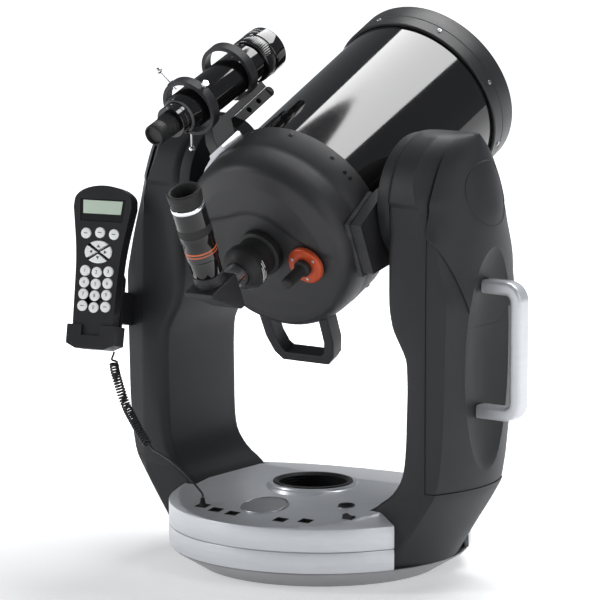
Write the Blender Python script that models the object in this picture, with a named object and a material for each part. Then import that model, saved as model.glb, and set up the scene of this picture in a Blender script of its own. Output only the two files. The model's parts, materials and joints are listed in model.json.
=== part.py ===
"""Fork-mounted Schmidt-Cassegrain telescope of the 8 inch class, as separate solids.

Frame: metres, +Z up. The origin is on the azimuth axis at the underside of the base.
+X points to the arm with the carry handle, -Y to the observer, +Y to where the tube looks.
Pieces of the tube are modelled in the tube's own frame: X, then Y along the optical axis,
then Z square to it, with zero on the altitude axis.
"""
import math

import bpy
import bmesh
from mathutils import Vector

# ---- driving dimensions ------------------------------------------------------------------
GAP = 0.0003                 # clearance between pieces that touch
ALTITUDE = math.radians(24.4)
ALTITUDE_Z = 0.470           # height of the altitude axis
TUBE_DROP = 0.0064           # the optical axis runs this far under the altitude axis

BASE_R = 0.190               # radius of the base drum
PAN_R = 0.153                # radius of the underside
PAN_TOP = 0.0240
BAND_TOP = 0.0507            # seam between the drive base and the top cover
RIM_Z = 0.0800               # rim of the top cover
PLATEAU_Z = 0.0995           # top of the cover around the well
PLATEAU_FALL = 0.003         # the plateau falls this much, if it ran on to the rim
COLLAR_Z = 0.1035
COLLAR_R = 0.0556
WELL_R = 0.0502
WELL_Y = -0.0150             # the well lies this far in front of the azimuth axis
PANEL_SLOPE = 0.14           # fall of the front and rear panels towards the rim
PANEL_EDGE_Y = 0.188
RIM_SLOPE = 0.8
MOUNT_HOLE_R = 0.0049        # clearance of a 3/8 inch tripod screw
MOUNT_CIRCLE_R = 0.112

ARM_SPLIT_X = 0.2153         # seam between an arm casting and its outer cover
ARM_HALF_W = 0.083
HEAD_R = 0.0865              # round top of an arm
HEAD_FACE_X = 0.142          # inner face of the bearing boss
FOOT_X = 0.134
FOOT_LOW_X = 0.1500
FOOT_LOW_Z = 0.0243
FOOT_TOP_Z = 0.1237
NOTCH_HALF_W = 0.0836
NOTCH_REAR = 0.0756

FRONT_CELL_R = 0.118
REAR_CELL_R = 0.1213
TUBE_R = 0.1135
TUBE_WALL = 0.0020
CELL_FRONT_S = 0.272         # distances along the tube from the altitude axis
CELL_REAR_S = 0.227
REAR_LIP_S = -0.044
REAR_BAND_S = -0.084
BACK_EDGE_S = -0.130
FOCUS_X = 0.063              # focuser axis, from the optical axis
FOCUS_Z = -0.0130

FINDER_ANGLE = math.radians(36.2)
FINDER_R = 0.1892            # axis of the finder's rings, from the optical axis
FINDER_DIP = math.radians(3.1)          # the finder points this much towards the tube
FINDER_SINK = -0.0042
SCREW_WAYS = [(0.0, 1.0), (-0.8, -0.6), (0.985, 0.17)]   # radial ways of its three screws
DIAGONAL_S = -0.2425         # where the diagonal turns the light

CONTROL_SEAT = (-0.2390, -0.1600, 0.2735)
CONTROL_TILT = (math.radians(-13), 0.0, math.radians(14))      # leans back, turned to the right
CONTROL_DEPTH = 0.021

WORM_R = 0.0065
GEAR_TEETH = 30
AZIMUTH_GEAR_R = 0.0930
ALTITUDE_GEAR_R = 0.0560

# Right-hand arm, by height: inner face, edge beside the front face, crown of the outer face.
ARM_INNER = [(0.0218, FOOT_LOW_X), (0.0508, FOOT_LOW_X), (0.0512, FOOT_X), (0.098, FOOT_X),
             (0.104, 0.146), (0.112, 0.158), (0.125, 0.169), (0.139, 0.1765), (0.160, 0.1800),
             (0.184, 0.1815), (0.250, 0.1830), (0.285, 0.1815), (0.305, 0.1700),
             (0.320, 0.1610), (0.345, 0.1560), (0.360, 0.1555), (0.600, 0.1555)]
ARM_REAR = [(0.0218, 0.075), (0.098, 0.075), (0.140, 0.070), (0.200, 0.072),
            (0.300, 0.073), (0.400, 0.083), (0.600, 0.083)]    # half width of the rear half
ARM_EDGE = [(0.0218, 0.160), (0.0508, 0.180), (0.085, 0.204), (0.1235, 0.229), (0.150, 0.2345),
            (0.200, 0.239), (0.300, 0.2415), (0.355, 0.2425), (0.400, 0.233), (0.430, 0.2255),
            (0.460, 0.213), (0.500, 0.199), (0.600, 0.199)]
ARM_CROWN = [(0.0218, 0.186), (0.0508, 0.203), (0.085, 0.222), (0.1235, 0.247), (0.160, 0.2525),
             (0.250, 0.2575), (0.460, 0.2577), (0.500, 0.2505), (0.534, 0.242), (0.600, 0.220)]


# ---- materials ---------------------------------------------------------------------------
def material(name, colour, roughness, metallic=0.0, transmission=0.0):
    mat = bpy.data.materials.new(name)
    mat.use_nodes = True
    shader = mat.node_tree.nodes["Principled BSDF"]
    shader.inputs["Base Color"].default_value = (*colour, 1.0)
    shader.inputs["Roughness"].default_value = roughness
    shader.inputs["Metallic"].default_value = metallic
    shader.inputs["Transmission Weight"].default_value = transmission
    return mat


def make_materials():
    return {
        "silver": material("silver_paint", (0.62, 0.64, 0.66), 0.34, 0.55),
        "pan": material("grey_pan", (0.25, 0.25, 0.26), 0.55, 0.2),
        "graphite": material("graphite_plastic", (0.045, 0.046, 0.050), 0.52),
        "cell": material("textured_grey", (0.055, 0.055, 0.056), 0.50),
        "gloss": material("gloss_black", (0.006, 0.006, 0.007), 0.08),
        "rubber": material("black_rubber", (0.015, 0.015, 0.016), 0.75),
        "steel": material("steel", (0.60, 0.60, 0.62), 0.25, 1.0),
        "brass": material("brass", (0.70, 0.52, 0.24), 0.30, 1.0),
        "orange": material("orange_anodised", (0.62, 0.12, 0.03), 0.35, 0.3),
        "glass": material("coated_glass", (0.75, 0.85, 0.82), 0.02, 0.0, 0.9),
        "mirror": material("mirror_coat", (0.90, 0.91, 0.92), 0.03, 1.0),
        "keys": material("white_keys", (0.85, 0.86, 0.84), 0.45),
        "board": material("circuit_board", (0.02, 0.10, 0.05), 0.5),
        "display": material("display", (0.62, 0.72, 0.60), 0.2),
    }


# ---- mesh helpers ------------------------------------------------------------------------
def bridge(bm, ring_a, ring_b):
    """Faces between two closed rings of points; a ring of one point is a pole."""
    count = max(len(ring_a), len(ring_b))
    if count == 1:
        return
    for i in range(count):
        j = (i + 1) % count
        corners = [ring_a[i % len(ring_a)], ring_a[j % len(ring_a)],
                   ring_b[j % len(ring_b)], ring_b[i % len(ring_b)]]
        unique = list(dict.fromkeys(corners))
        if len(unique) > 2:
            bm.faces.new(unique)


def finished(bm):
    bmesh.ops.recalc_face_normals(bm, faces=bm.faces)
    return bm


def turned(profile, segments):
    """Solid of revolution about +Z from a closed loop of (radius, height) points."""
    bm = bmesh.new()
    rings = []
    for radius, height in profile:
        if radius < 1e-6:
            rings.append([bm.verts.new((0.0, 0.0, height))])
            continue
        angles = [2 * math.pi * i / segments for i in range(segments)]
        rings.append([bm.verts.new((radius * math.cos(a), radius * math.sin(a), height))
                      for a in angles])
    for a, b in zip(rings, rings[1:] + rings[:1]):
        bridge(bm, a, b)
    return finished(bm)


def loft(rings, closed=False):
    """Skin through equal rings of 3-D points, capped at both ends unless it closes on itself."""
    bm = bmesh.new()
    made = [[bm.verts.new(p) for p in ring] for ring in rings]
    for a, b in zip(made, made[1:]):
        bridge(bm, a, b)
    if closed:
        bridge(bm, made[-1], made[0])
    else:
        bm.faces.new(made[0])
        bm.faces.new(made[-1])
    return finished(bm)


def slab(outline, axis, low, high):
    """Prism of a 2-D outline along an axis; the outline holds the other two coordinates."""
    def place(point, along):
        a, b = point
        return {"X": (along, a, b), "Y": (a, along, b), "Z": (a, b, along)}[axis]
    return loft([[place(p, low) for p in outline], [place(p, high) for p in outline]])


def block(low, high, bevel=0.0):
    """Box between two corners, with its edges bevelled."""
    outline = [(low[0], low[1]), (high[0], low[1]), (high[0], high[1]), (low[0], high[1])]
    bm = slab(outline, "Z", low[2], high[2])
    if bevel:
        bmesh.ops.bevel(bm, geom=bm.edges[:], offset=bevel, segments=1, affect="EDGES")
    return finished(bm)


def arc(centre, radius, start, end, steps):
    """Points of an arc from the start to the end angle, in degrees."""
    angles = [math.radians(start + (end - start) * i / steps) for i in range(steps + 1)]
    return [(centre[0] + radius * math.cos(a), centre[1] + radius * math.sin(a)) for a in angles]


def circle(centre, radius, steps):
    return arc(centre, radius, 0, 360 * (steps - 1) / steps, steps - 1)


def rounded(half_w, half_h, radius, steps=2, centre=(0.0, 0.0)):
    """Rectangle with round corners."""
    x, y = centre
    points = []
    corners = [(1, 1, 0), (-1, 1, 90), (-1, -1, 180), (1, -1, 270)]
    for sx, sy, start in corners:
        corner = (x + sx * (half_w - radius), y + sy * (half_h - radius))
        points += arc(corner, radius, start, start + 90, steps)
    return points


def gear_outline(radius, teeth, depth):
    points = []
    for i in range(teeth):
        for part, r in ((0.0, radius - depth), (0.25, radius - depth), (0.5, radius), (0.75, radius)):
            a = 2 * math.pi * (i + part) / teeth
            points.append((r * math.cos(a), r * math.sin(a)))
    return points


def interpolate(table, z):
    for (z0, v0), (z1, v1) in zip(table, table[1:]):
        if z <= z1:
            return v0 + (v1 - v0) * (z - z0) / (z1 - z0)
    return table[-1][1]


# ---- object helpers ----------------------------------------------------------------------
def pivot(name, location, rotation=(0.0, 0.0, 0.0), parent=None, order="XYZ"):
    """Empty on a joint axis, or the frame of a group of pieces."""
    empty = bpy.data.objects.new(name, None)
    empty.rotation_mode = order
    empty.location = location
    empty.rotation_euler = rotation
    empty.parent = parent
    bpy.context.scene.collection.objects.link(empty)
    return empty


def piece(name, bm, mat, parent=None, location=(0.0, 0.0, 0.0), rotation=(0.0, 0.0, 0.0)):
    mesh = bpy.data.meshes.new(name)
    bm.to_mesh(mesh)
    bm.free()
    mesh.materials.append(mat)
    mesh.shade_smooth()
    mesh.set_sharp_from_angle(angle=math.radians(32))
    obj = bpy.data.objects.new(name, mesh)
    obj.parent = parent
    obj.location = location
    obj.rotation_euler = rotation
    bpy.context.scene.collection.objects.link(obj)
    return obj


def combine(obj, bm, operation, location=(0.0, 0.0, 0.0), rotation=(0.0, 0.0, 0.0), free=False):
    """Boolean with a hidden tool, placed in the object's own frame, or free in the world's."""
    mesh = bpy.data.meshes.new(obj.name + "_tool")
    bm.to_mesh(mesh)
    bm.free()
    tool = bpy.data.objects.new(obj.name + "_tool", mesh)
    tool.parent = None if free else obj
    tool.location = location
    tool.rotation_euler = rotation
    tool.hide_render = True
    tool.display_type = "WIRE"
    bpy.context.scene.collection.objects.link(tool)
    modifier = obj.modifiers.new(operation.lower(), "BOOLEAN")
    modifier.operation = operation
    modifier.solver = "EXACT"
    modifier.object = tool


def cut(obj, bm, location=(0.0, 0.0, 0.0), rotation=(0.0, 0.0, 0.0)):
    combine(obj, bm, "DIFFERENCE", location, rotation)


def join(obj, bm, location=(0.0, 0.0, 0.0), rotation=(0.0, 0.0, 0.0)):
    combine(obj, bm, "UNION", location, rotation)


ALONG_X = (0.0, math.radians(90), 0.0)      # turns +Z onto +X
ALONG_Y = (math.radians(-90), 0.0, 0.0)     # turns +Z onto +Y


def cylinder(radius, low, high, steps=16):
    return slab(circle((0.0, 0.0), radius, steps), "Z", low, high)


def tube_profile(outer, inner, low, high, chamfer=0.0):
    return [(outer - chamfer, low), (outer, low + chamfer), (outer, high - chamfer),
            (outer - chamfer, high), (inner, high), (inner, low)]


def ring(outer, inner, low, high, steps, chamfer=0.0):
    profile = tube_profile(outer, inner, low, high, chamfer)
    if chamfer == 0.0:
        profile = [(outer, low), (outer, high), (inner, high), (inner, low)]
    return turned(profile, steps)


# ---- base: the fixed pan -----------------------------------------------------------------
def build_base(mats, azimuth):
    floor = 0.0062
    pan = piece("base_pan", turned([
        (0.0, 0.0), (PAN_R - 0.002, 0.0), (PAN_R, 0.0015), (0.1870, PAN_TOP - 0.002),
        (0.1870, PAN_TOP), (0.1805, PAN_TOP), (PAN_R - 0.001, floor), (0.0, floor)], 44),
        mats["pan"])
    for i in range(3):
        a = math.radians(86 + 120 * i)
        place = (MOUNT_CIRCLE_R * math.cos(a), MOUNT_CIRCLE_R * math.sin(a), 0.0)
        cut(pan, cylinder(MOUNT_HOLE_R, -0.01, 0.02, 12), place)
    low = floor + GAP
    piece("azimuth_spindle", turned([
        (0.0, low), (0.040, low), (0.040, low + 0.006), (0.0150, low + 0.008),
        (0.0150, 0.0650), (0.0135, 0.0665), (0.0, 0.0665)], 24), mats["steel"])
    gear = piece("azimuth_gear", slab(
        gear_outline(AZIMUTH_GEAR_R, GEAR_TEETH, 0.003), "Z", low, 0.0175), mats["brass"])
    cut(gear, cylinder(0.060, -0.01, 0.03, 32))
    return azimuth


# ---- base: the rotating drive base, cover and control panel ------------------------------
def cover_height(x, y):
    """Height of the top cover: collar, plateau, two sloping panels and a falling rim."""
    from_well = math.hypot(x, y - WELL_Y)
    if from_well < COLLAR_R + 0.0002:
        return COLLAR_Z
    panel = RIM_Z - 0.0005 + PANEL_SLOPE * (PANEL_EDGE_Y - abs(y))
    rim = RIM_Z + RIM_SLOPE * (BASE_R - 0.0006 - math.hypot(x, y))
    plateau = PLATEAU_Z - PLATEAU_FALL * (from_well - COLLAR_R) / BASE_R
    return min(plateau, panel, rim)


def cover_section(angle):
    """Closed cross-section of the top cover at one azimuth, from the outer wall inwards."""
    c, s = math.cos(angle), math.sin(angle)

    def at(r, z):
        shift = WELL_Y * min(1.0, (BASE_R - r) / (BASE_R - 0.0700))
        return (r * c, r * s + shift, z)

    def top(r, drop=0.0):
        x, y, _ = at(r, 0.0)
        return (x, y, cover_height(x, y) - drop)

    wall = BASE_R - 0.0048
    outer = [at(BASE_R, BAND_TOP + GAP), at(BASE_R, RIM_Z - 0.0012)]
    surface = [top(r) for r in (BASE_R - 0.0012, 0.1760, 0.1500, 0.1200, 0.0900, 0.0620)]
    collar = [at(COLLAR_R + 0.0012, PLATEAU_Z - 0.001), at(COLLAR_R, COLLAR_Z),
              at(WELL_R + GAP, COLLAR_Z), at(WELL_R + GAP, 0.0915)]
    under = [top(0.1200, 0.0045), top(0.1740, 0.0045), at(wall, 0.0740), at(wall, BAND_TOP + GAP)]
    return outer + surface + collar + under


PORTS = [(-0.0740, -0.1465), (-0.0485, -0.1530), (-0.0210, -0.1560), (0.0500, -0.1530),
         (0.0820, -0.1450)]
INLET = (0.0970, -0.0800)
SWITCH = (0.1250, -0.1155)


def build_drive_base(mats, azimuth):
    hub = 0.0265
    drum = piece("drive_base", turned([
        (BASE_R - 0.001, PAN_TOP + 0.0005), (BASE_R, PAN_TOP + 0.0015), (BASE_R, BAND_TOP - 0.001),
        (BASE_R - 0.001, BAND_TOP), (hub, BAND_TOP), (hub, 0.0290), (0.0360, 0.0290),
        (0.0360, 0.0437), (BASE_R - 0.0055, 0.0437), (BASE_R - 0.0055, PAN_TOP + 0.0005)], 44),
        mats["silver"], azimuth)
    cover = piece("top_cover", loft([cover_section(2 * math.pi * i / 52) for i in range(52)], True),
                  mats["silver"], azimuth)
    for side in (-1, 1):
        low, high = sorted((side * (FOOT_LOW_X - GAP), side * 0.21))
        cut(drum, block((low, -NOTCH_HALF_W, 0.0), (high, NOTCH_REAR, 0.07)))
        low, high = sorted((side * (FOOT_X - GAP), side * 0.21))
        cut(cover, block((low, -NOTCH_HALF_W, 0.04), (high, NOTCH_REAR, 0.12)))
    for x, y in PORTS:
        cut(cover, block((x - 0.0075, y - 0.006, 0.06), (x + 0.0075, y + 0.006, 0.12)))
    cut(cover, cylinder(0.0103, 0.06, 0.12, 20), (*INLET, 0.0))
    cut(cover, block((SWITCH[0] - 0.0075, SWITCH[1] - 0.0055, 0.06),
                     (SWITCH[0] + 0.0075, SWITCH[1] + 0.0055, 0.12)))
    piece("azimuth_bearing", ring(hub - GAP, 0.0153, 0.0300, 0.0420, 24), mats["steel"], azimuth)
    piece("centre_well", turned([
        (WELL_R, 0.0860), (WELL_R, COLLAR_Z + 0.0010), (0.0490, COLLAR_Z + 0.0020),
        (0.0460, COLLAR_Z + 0.0020), (0.0430, COLLAR_Z - 0.0010), (0.0420, 0.0740), (0.0, 0.0740),
        (0.0, 0.0712), (0.0450, 0.0712), (0.0458, 0.0860)], 32), mats["graphite"], azimuth,
        (0.0, WELL_Y, 0.0))
    build_panel(mats, azimuth)


def build_panel(mats, azimuth):
    """Socket board, round plate, power socket and rocker switch of the control panel."""
    board_z = 0.0705
    outline = [(-0.092, board_z), (0.095, board_z), (0.095, board_z + 0.0016)]
    for x, _ in reversed(PORTS):
        outline += [(x + 0.0068, board_z + 0.0016), (x + 0.0068, 0.0770),
                    (x - 0.0068, 0.0770), (x - 0.0068, board_z + 0.0016)]
    outline += [(-0.092, board_z + 0.0016)]
    piece("port_board", slab(outline, "Y", -0.1570, -0.1380), mats["board"], azimuth)
    plate_y = -0.1170
    plate_z = RIM_Z - 0.0005 + PANEL_SLOPE * (PANEL_EDGE_Y + plate_y)
    piece("panel_disc", turned([(0.0, GAP), (0.0300, GAP), (0.0300, 0.0012), (0.0285, 0.0020),
                                (0.0270, 0.0014), (0.0, 0.0014)], 32), mats["pan"], azimuth,
          (0.0, plate_y, plate_z), (math.atan(PANEL_SLOPE), 0.0, 0.0))
    piece("power_socket", turned([
        (0.0, 0.0720), (0.0100, 0.0720), (0.0100, 0.0965), (0.0092, 0.0972), (0.0070, 0.0955),
        (0.0070, 0.0800), (0.0013, 0.0800), (0.0013, 0.0920), (0.0, 0.0920)], 20),
        mats["rubber"], azimuth, (*INLET, 0.0))
    rocker = pivot("power_switch_axis", (*SWITCH, 0.0890), (0.0, math.radians(10), 0.0), azimuth)
    outline = [(-0.0065, 0.0045), (0.0, 0.0030), (0.0065, 0.0045), (0.0065, -0.002),
               (0.003, -0.006), (-0.003, -0.006), (-0.0065, -0.002)]
    piece("power_switch", slab(outline, "Y", -0.0048, 0.0048), mats["rubber"], rocker)


def build_azimuth_drive(mats, azimuth):
    """Worm and motor that turn the fork about the fixed gear."""
    worm_y = -(AZIMUTH_GEAR_R + GAP + WORM_R + 0.0002)
    shaft = pivot("azimuth_worm_axis", (0.0, worm_y, 0.0135), ALONG_X, azimuth)
    piece("azimuth_worm", worm_shape(0.018, 0.0337), mats["steel"], shaft)
    piece("azimuth_motor", block((0.0340, worm_y - 0.014, 0.0072), (0.0880, worm_y + 0.014, 0.0434),
                                 0.002), mats["rubber"], azimuth)


def worm_shape(thread_half, shaft_end):
    """Ridged worm about +Z, with a thinner shaft to its motor."""
    profile = [(0.0, -thread_half - 0.004), (0.0028, -thread_half - 0.004), (0.0028, -thread_half)]
    ridges = 6
    pitch = 2 * thread_half / ridges
    for i in range(ridges):
        start = -thread_half + i * pitch
        profile += [(WORM_R - 0.0022, start), (WORM_R, start + 0.3 * pitch),
                    (WORM_R, start + 0.6 * pitch), (WORM_R - 0.0022, start + 0.9 * pitch)]
    profile += [(0.0028, thread_half), (0.0028, shaft_end), (0.0, shaft_end)]
    return turned(profile, 10)


# ---- fork arms ---------------------------------------------------------------------------
def arm_section(z, proud=0.0):
    """Half width, inner face, outer edge and crown of an arm at one height."""
    half = ARM_HALF_W + proud
    if z > ALTITUDE_Z:
        half = math.sqrt(max((HEAD_R + proud) ** 2 - (z - ALTITUDE_Z) ** 2, 0.0))
    edge = interpolate(ARM_EDGE, z) + proud
    return half, interpolate(ARM_INNER, z), edge, interpolate(ARM_CROWN, z) + proud


def crease_at(half, edge, z):
    """The crease of the front face, inside the seam or the edge; it fades out at the base."""
    fade = min(1.0, max(0.0, (z - 0.095) / 0.03))
    return min(ARM_SPLIT_X - 0.004, edge - 0.004), half + 0.0025 * fade


def outside(half, edge, crown, fractions):
    """Crowned outer face, from the edge to the middle."""
    corner = half - 0.003
    return [(crown - (crown - edge) * f * f, f * corner) for f in fractions]


def seam_crossing(half, edge, crown, plane, z):
    """Where the section meets the seam plane: its half width, and its fraction of the crown."""
    if edge > plane + 0.0005:
        crease_x, crease_y = crease_at(half, edge, z)
        part = (plane - crease_x) / (edge - crease_x)
        return crease_y + (half - 0.003 - crease_y) * part, 1.0
    fraction = min(0.995, math.sqrt(max(crown - plane, 0.0) / (crown - edge)))
    return fraction * (half - 0.003), fraction


def mirrored_ring(points, side, z):
    """Closed ring from the points of one half, the last one on the middle plane."""
    rear = interpolate(ARM_REAR, z) / ARM_HALF_W
    ring_points = [(x, -y) for x, y in points] + [(x, rear * y) for x, y in reversed(points[:-1])]
    return [(side * x, y, z) for x, y in ring_points]


def casting_ring(z, side, open_side):
    """Section of an arm casting; above the foot it stops at the seam plane."""
    half, inner, edge, crown = arm_section(z)
    plane = ARM_SPLIT_X - GAP
    cross, fraction = seam_crossing(half, edge, crown, plane, z)
    points = [(inner, half - 0.012), (inner + 0.0035, half - 0.0035), (inner + 0.012, half),
              crease_at(half, edge, z)]
    if not open_side:
        points += outside(half, edge, crown, (1.0, 0.72, 0.38, 0.0))
    elif fraction == 1.0:
        points += [(plane, cross), (plane, 0.72 * cross), (plane, 0.38 * cross), (plane, 0.0)]
    else:
        points += [(edge, half - 0.003), (plane, cross), (plane, 0.5 * cross), (plane, 0.0)]
    return mirrored_ring(points, side, z)


def cover_ring(z, side, proud=0.0):
    """Section of an arm's outer cover, from the seam plane outwards."""
    half, _, edge, crown = arm_section(z, proud)
    cross, fraction = seam_crossing(half, edge, crown, ARM_SPLIT_X, z)
    points = [(ARM_SPLIT_X, cross)]
    if fraction == 1.0:
        points += outside(half, edge, crown, (1.0, 0.72, 0.38, 0.0))
    else:
        points += outside(half, edge, crown, [fraction * f for f in (0.85, 0.6, 0.3, 0.0)])
    return mirrored_ring(points, side, z)


MIDDLE_LEVELS = [0.139, 0.160, 0.200, 0.250, 0.285, 0.320, 0.345, 0.400, 0.430, 0.453, 0.465]


def head_levels(proud=0.0):
    return [ALTITUDE_Z + (HEAD_R + proud) * math.sin(math.radians(t)) for t in (14, 30, 46, 60, 74)]


def casting_form(side):
    foot = [FOOT_LOW_Z, 0.0507, 0.0512, 0.085, 0.098, 0.112, FOOT_TOP_Z - GAP]
    rings = [casting_ring(z, side, False) for z in foot]
    rings += [casting_ring(z, side, True) for z in [FOOT_TOP_Z] + MIDDLE_LEVELS + head_levels()]
    return loft(rings)


def cover_form(side, proud=0.0):
    levels = [FOOT_TOP_Z + GAP] + MIDDLE_LEVELS + head_levels(proud)
    return loft([cover_ring(z, side, proud) for z in levels])


def x_block(side, near, far, y, z):
    """Box between two distances from the centre on one side of the mount."""
    low, high = sorted((side * near, side * far))
    return block((low, y[0], z[0]), (high, y[1], z[1]))


def x_slab(side, outline, near, far):
    low, high = sorted((side * near, side * far))
    return slab(outline, "X", low, high)


def build_arm(mats, azimuth, side, name):
    """Arm casting: round bearing boss, hollow for the altitude drive, open to the cover."""
    arm = piece(name, casting_form(side), mats["graphite"], azimuth)
    boss = circle((0.0, ALTITUDE_Z), 0.082, 28)
    join(arm, x_slab(side, boss, HEAD_FACE_X, 0.1600))
    head = arc((0.0, ALTITUDE_Z), 0.076, -10, 190, 14) + [(-0.073, 0.368), (0.073, 0.368)]
    cut(arm, x_slab(side, head, 0.1660, 0.2300))
    cut(arm, x_block(side, 0.1930, 0.2300, (-0.072, 0.058), (0.135, 0.356)))
    bore = circle((0.0, ALTITUDE_Z), 0.034, 24)
    cut(arm, x_slab(side, bore, 0.1300, 0.1800))
    bearing = ring(0.034 - GAP, 0.0203, 0.1450, 0.1600, 24)
    if side > 0:
        place, turn = (0.0, 0.0, ALTITUDE_Z), ALONG_X
        piece("right_bearing", bearing, mats["steel"], azimuth, place, turn)
    else:
        place, turn = (-0.3050, 0.0, ALTITUDE_Z), ALONG_X
        piece("left_bearing", bearing, mats["steel"], azimuth, place, turn)


CAP_LINE = [(-0.100, 0.475), (-0.041, 0.335), (-0.030, 0.322), (0.030, 0.322), (0.041, 0.335),
            (0.100, 0.475)]


def scoop():
    """Shallow oval hollow behind the carry handle."""
    return loft([[(0.2577 + 0.0120 - 0.0330 * math.cos(t), 0.063 * math.sin(t) * math.cos(a),
                   0.2700 + 0.160 * math.sin(t) * math.sin(a))
                  for a in [2 * math.pi * i / 24 for i in range(24)]]
                 for t in [math.radians(d) for d in (8, 30, 50, 68, 82, 100)]])


def build_right_covers(mats, azimuth):
    lower = piece("right_arm_cover", cover_form(1, -0.0012), mats["graphite"], azimuth)
    outline = [(-0.12, 0.10), (0.12, 0.10), (0.12, 0.5225 - GAP)]
    outline += [(y, z - GAP) for y, z in reversed(CAP_LINE)] + [(-0.12, 0.5225 - GAP)]
    combine(lower, slab(outline, "X", 0.19, 0.30), "INTERSECT")
    cut(lower, scoop())
    cap = piece("right_arm_cap", cover_form(1, 0.0010), mats["graphite"], azimuth)
    outline = [(-0.12, 0.5225)] + CAP_LINE + [(0.12, 0.5225), (0.12, 0.60), (-0.12, 0.60)]
    combine(cap, slab(outline, "X", 0.19, 0.30), "INTERSECT")
    cut(cap, scoop())
    cut(cap, block((0.20, -0.045, 0.440), (0.232, 0.045, 0.500)))


def build_left_cover(mats, azimuth):
    cover = piece("left_arm_cover", cover_form(-1), mats["graphite"], azimuth)
    cut(cover, x_block(-1, 0.20, 0.2350, (-0.048, 0.048), (0.150, 0.488)))


def build_handle(mats, azimuth):
    """Silver D-shaped carry handle: a rounded bar along a path with two quarter bends."""
    bar_x, top, low, bend = 0.2948, 0.3720, 0.2175, 0.016
    path = [((0.2472, top), 90)]
    for i in range(5):
        t = 90 * i / 4
        a = math.radians(90 - t)
        path.append(((bar_x - bend + bend * math.cos(a), top - bend + bend * math.sin(a)), 90 - t))
    for i in range(5):
        t = 90 * i / 4
        a = math.radians(-t)
        path.append(((bar_x - bend + bend * math.cos(a), low + bend + bend * math.sin(a)), -t))
    path.append(((0.2405, low), -90))
    rings = []
    for (x, z), heading in path:
        out = (math.cos(math.radians(heading)), math.sin(math.radians(heading)))
        rings.append([(x + u * out[0], v, z + u * out[1])
                      for u, v in rounded(0.0083, 0.0110, 0.0045, 2)])
    piece("carry_handle", loft(rings), mats["silver"], azimuth)


def build_altitude_drive(mats, azimuth):
    worm_x = 0.1760
    drop = ALTITUDE_GEAR_R + GAP + WORM_R + 0.0002
    shaft = pivot("altitude_worm_axis", (worm_x, 0.0, ALTITUDE_Z - drop), ALONG_Y, azimuth)
    piece("altitude_worm", worm_shape(0.018, 0.0337), mats["steel"], shaft)
    z = ALTITUDE_Z - drop
    piece("altitude_motor", block((worm_x - 0.0095, 0.0340, z - 0.016), (worm_x + 0.026, 0.0680, z + 0.016),
                                  0.002), mats["rubber"], azimuth)


# ---- optical tube ------------------------------------------------------------------------
def build_tube(mats, altitude, optical):
    """The turned pieces around the optical axis."""
    piece("optical_tube", ring(TUBE_R, TUBE_R - TUBE_WALL, -0.0580, 0.2420, 44),
          mats["gloss"], optical, rotation=ALONG_Y)
    seat = 0.2467
    piece("front_cell", turned([
        (TUBE_R + GAP, CELL_REAR_S), (FRONT_CELL_R - 0.001, CELL_REAR_S),
        (FRONT_CELL_R, CELL_REAR_S + 0.001),
        (FRONT_CELL_R, CELL_FRONT_S - 0.0015), (FRONT_CELL_R - 0.0015, CELL_FRONT_S),
        (TUBE_R + 0.0005, CELL_FRONT_S), (TUBE_R - 0.001, seat), (0.1035, seat), (0.1035, 0.2425),
        (TUBE_R + GAP, 0.2425)], 44),
        mats["cell"], optical, rotation=ALONG_Y)
    piece("corrector_plate", ring(0.1095, 0.0302, seat + GAP, 0.2512, 40),
          mats["glass"], optical, rotation=ALONG_Y)
    piece("retaining_ring", ring(TUBE_R - 0.0015, 0.1040, 0.2515, 0.2560, 40),
          mats["cell"], optical, rotation=ALONG_Y)
    piece("secondary_holder", turned([
        (0.0, 0.2060), (0.0290, 0.2060), (0.0290, 0.2515), (0.0385, 0.2515), (0.0385, 0.2620),
        (0.0365, 0.2640), (0.0, 0.2640)], 32), mats["rubber"], optical, rotation=ALONG_Y)
    piece("secondary_mirror", turned([
        (0.0, 0.2008), (0.0150, 0.2012), (0.0255, 0.2024), (0.0255, 0.2057), (0.0, 0.2057)], 24),
        mats["mirror"], optical, rotation=ALONG_Y)
    piece("primary_mirror", turned([
        (0.0270, -0.0980), (0.1015, -0.0980), (0.1015, -0.0760), (0.0990, -0.0752),
        (0.0750, -0.0777), (0.0500, -0.0796), (0.0270, -0.0806)], 40),
        mats["mirror"], optical, rotation=ALONG_Y)
    piece("baffle_tube", turned([
        (0.0245, -0.1292), (0.0400, -0.1292), (0.0400, -0.1255), (0.0262, -0.1255),
        (0.0262, 0.0550), (0.0245, 0.0550)], 24), mats["rubber"], optical, rotation=ALONG_Y)


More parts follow.
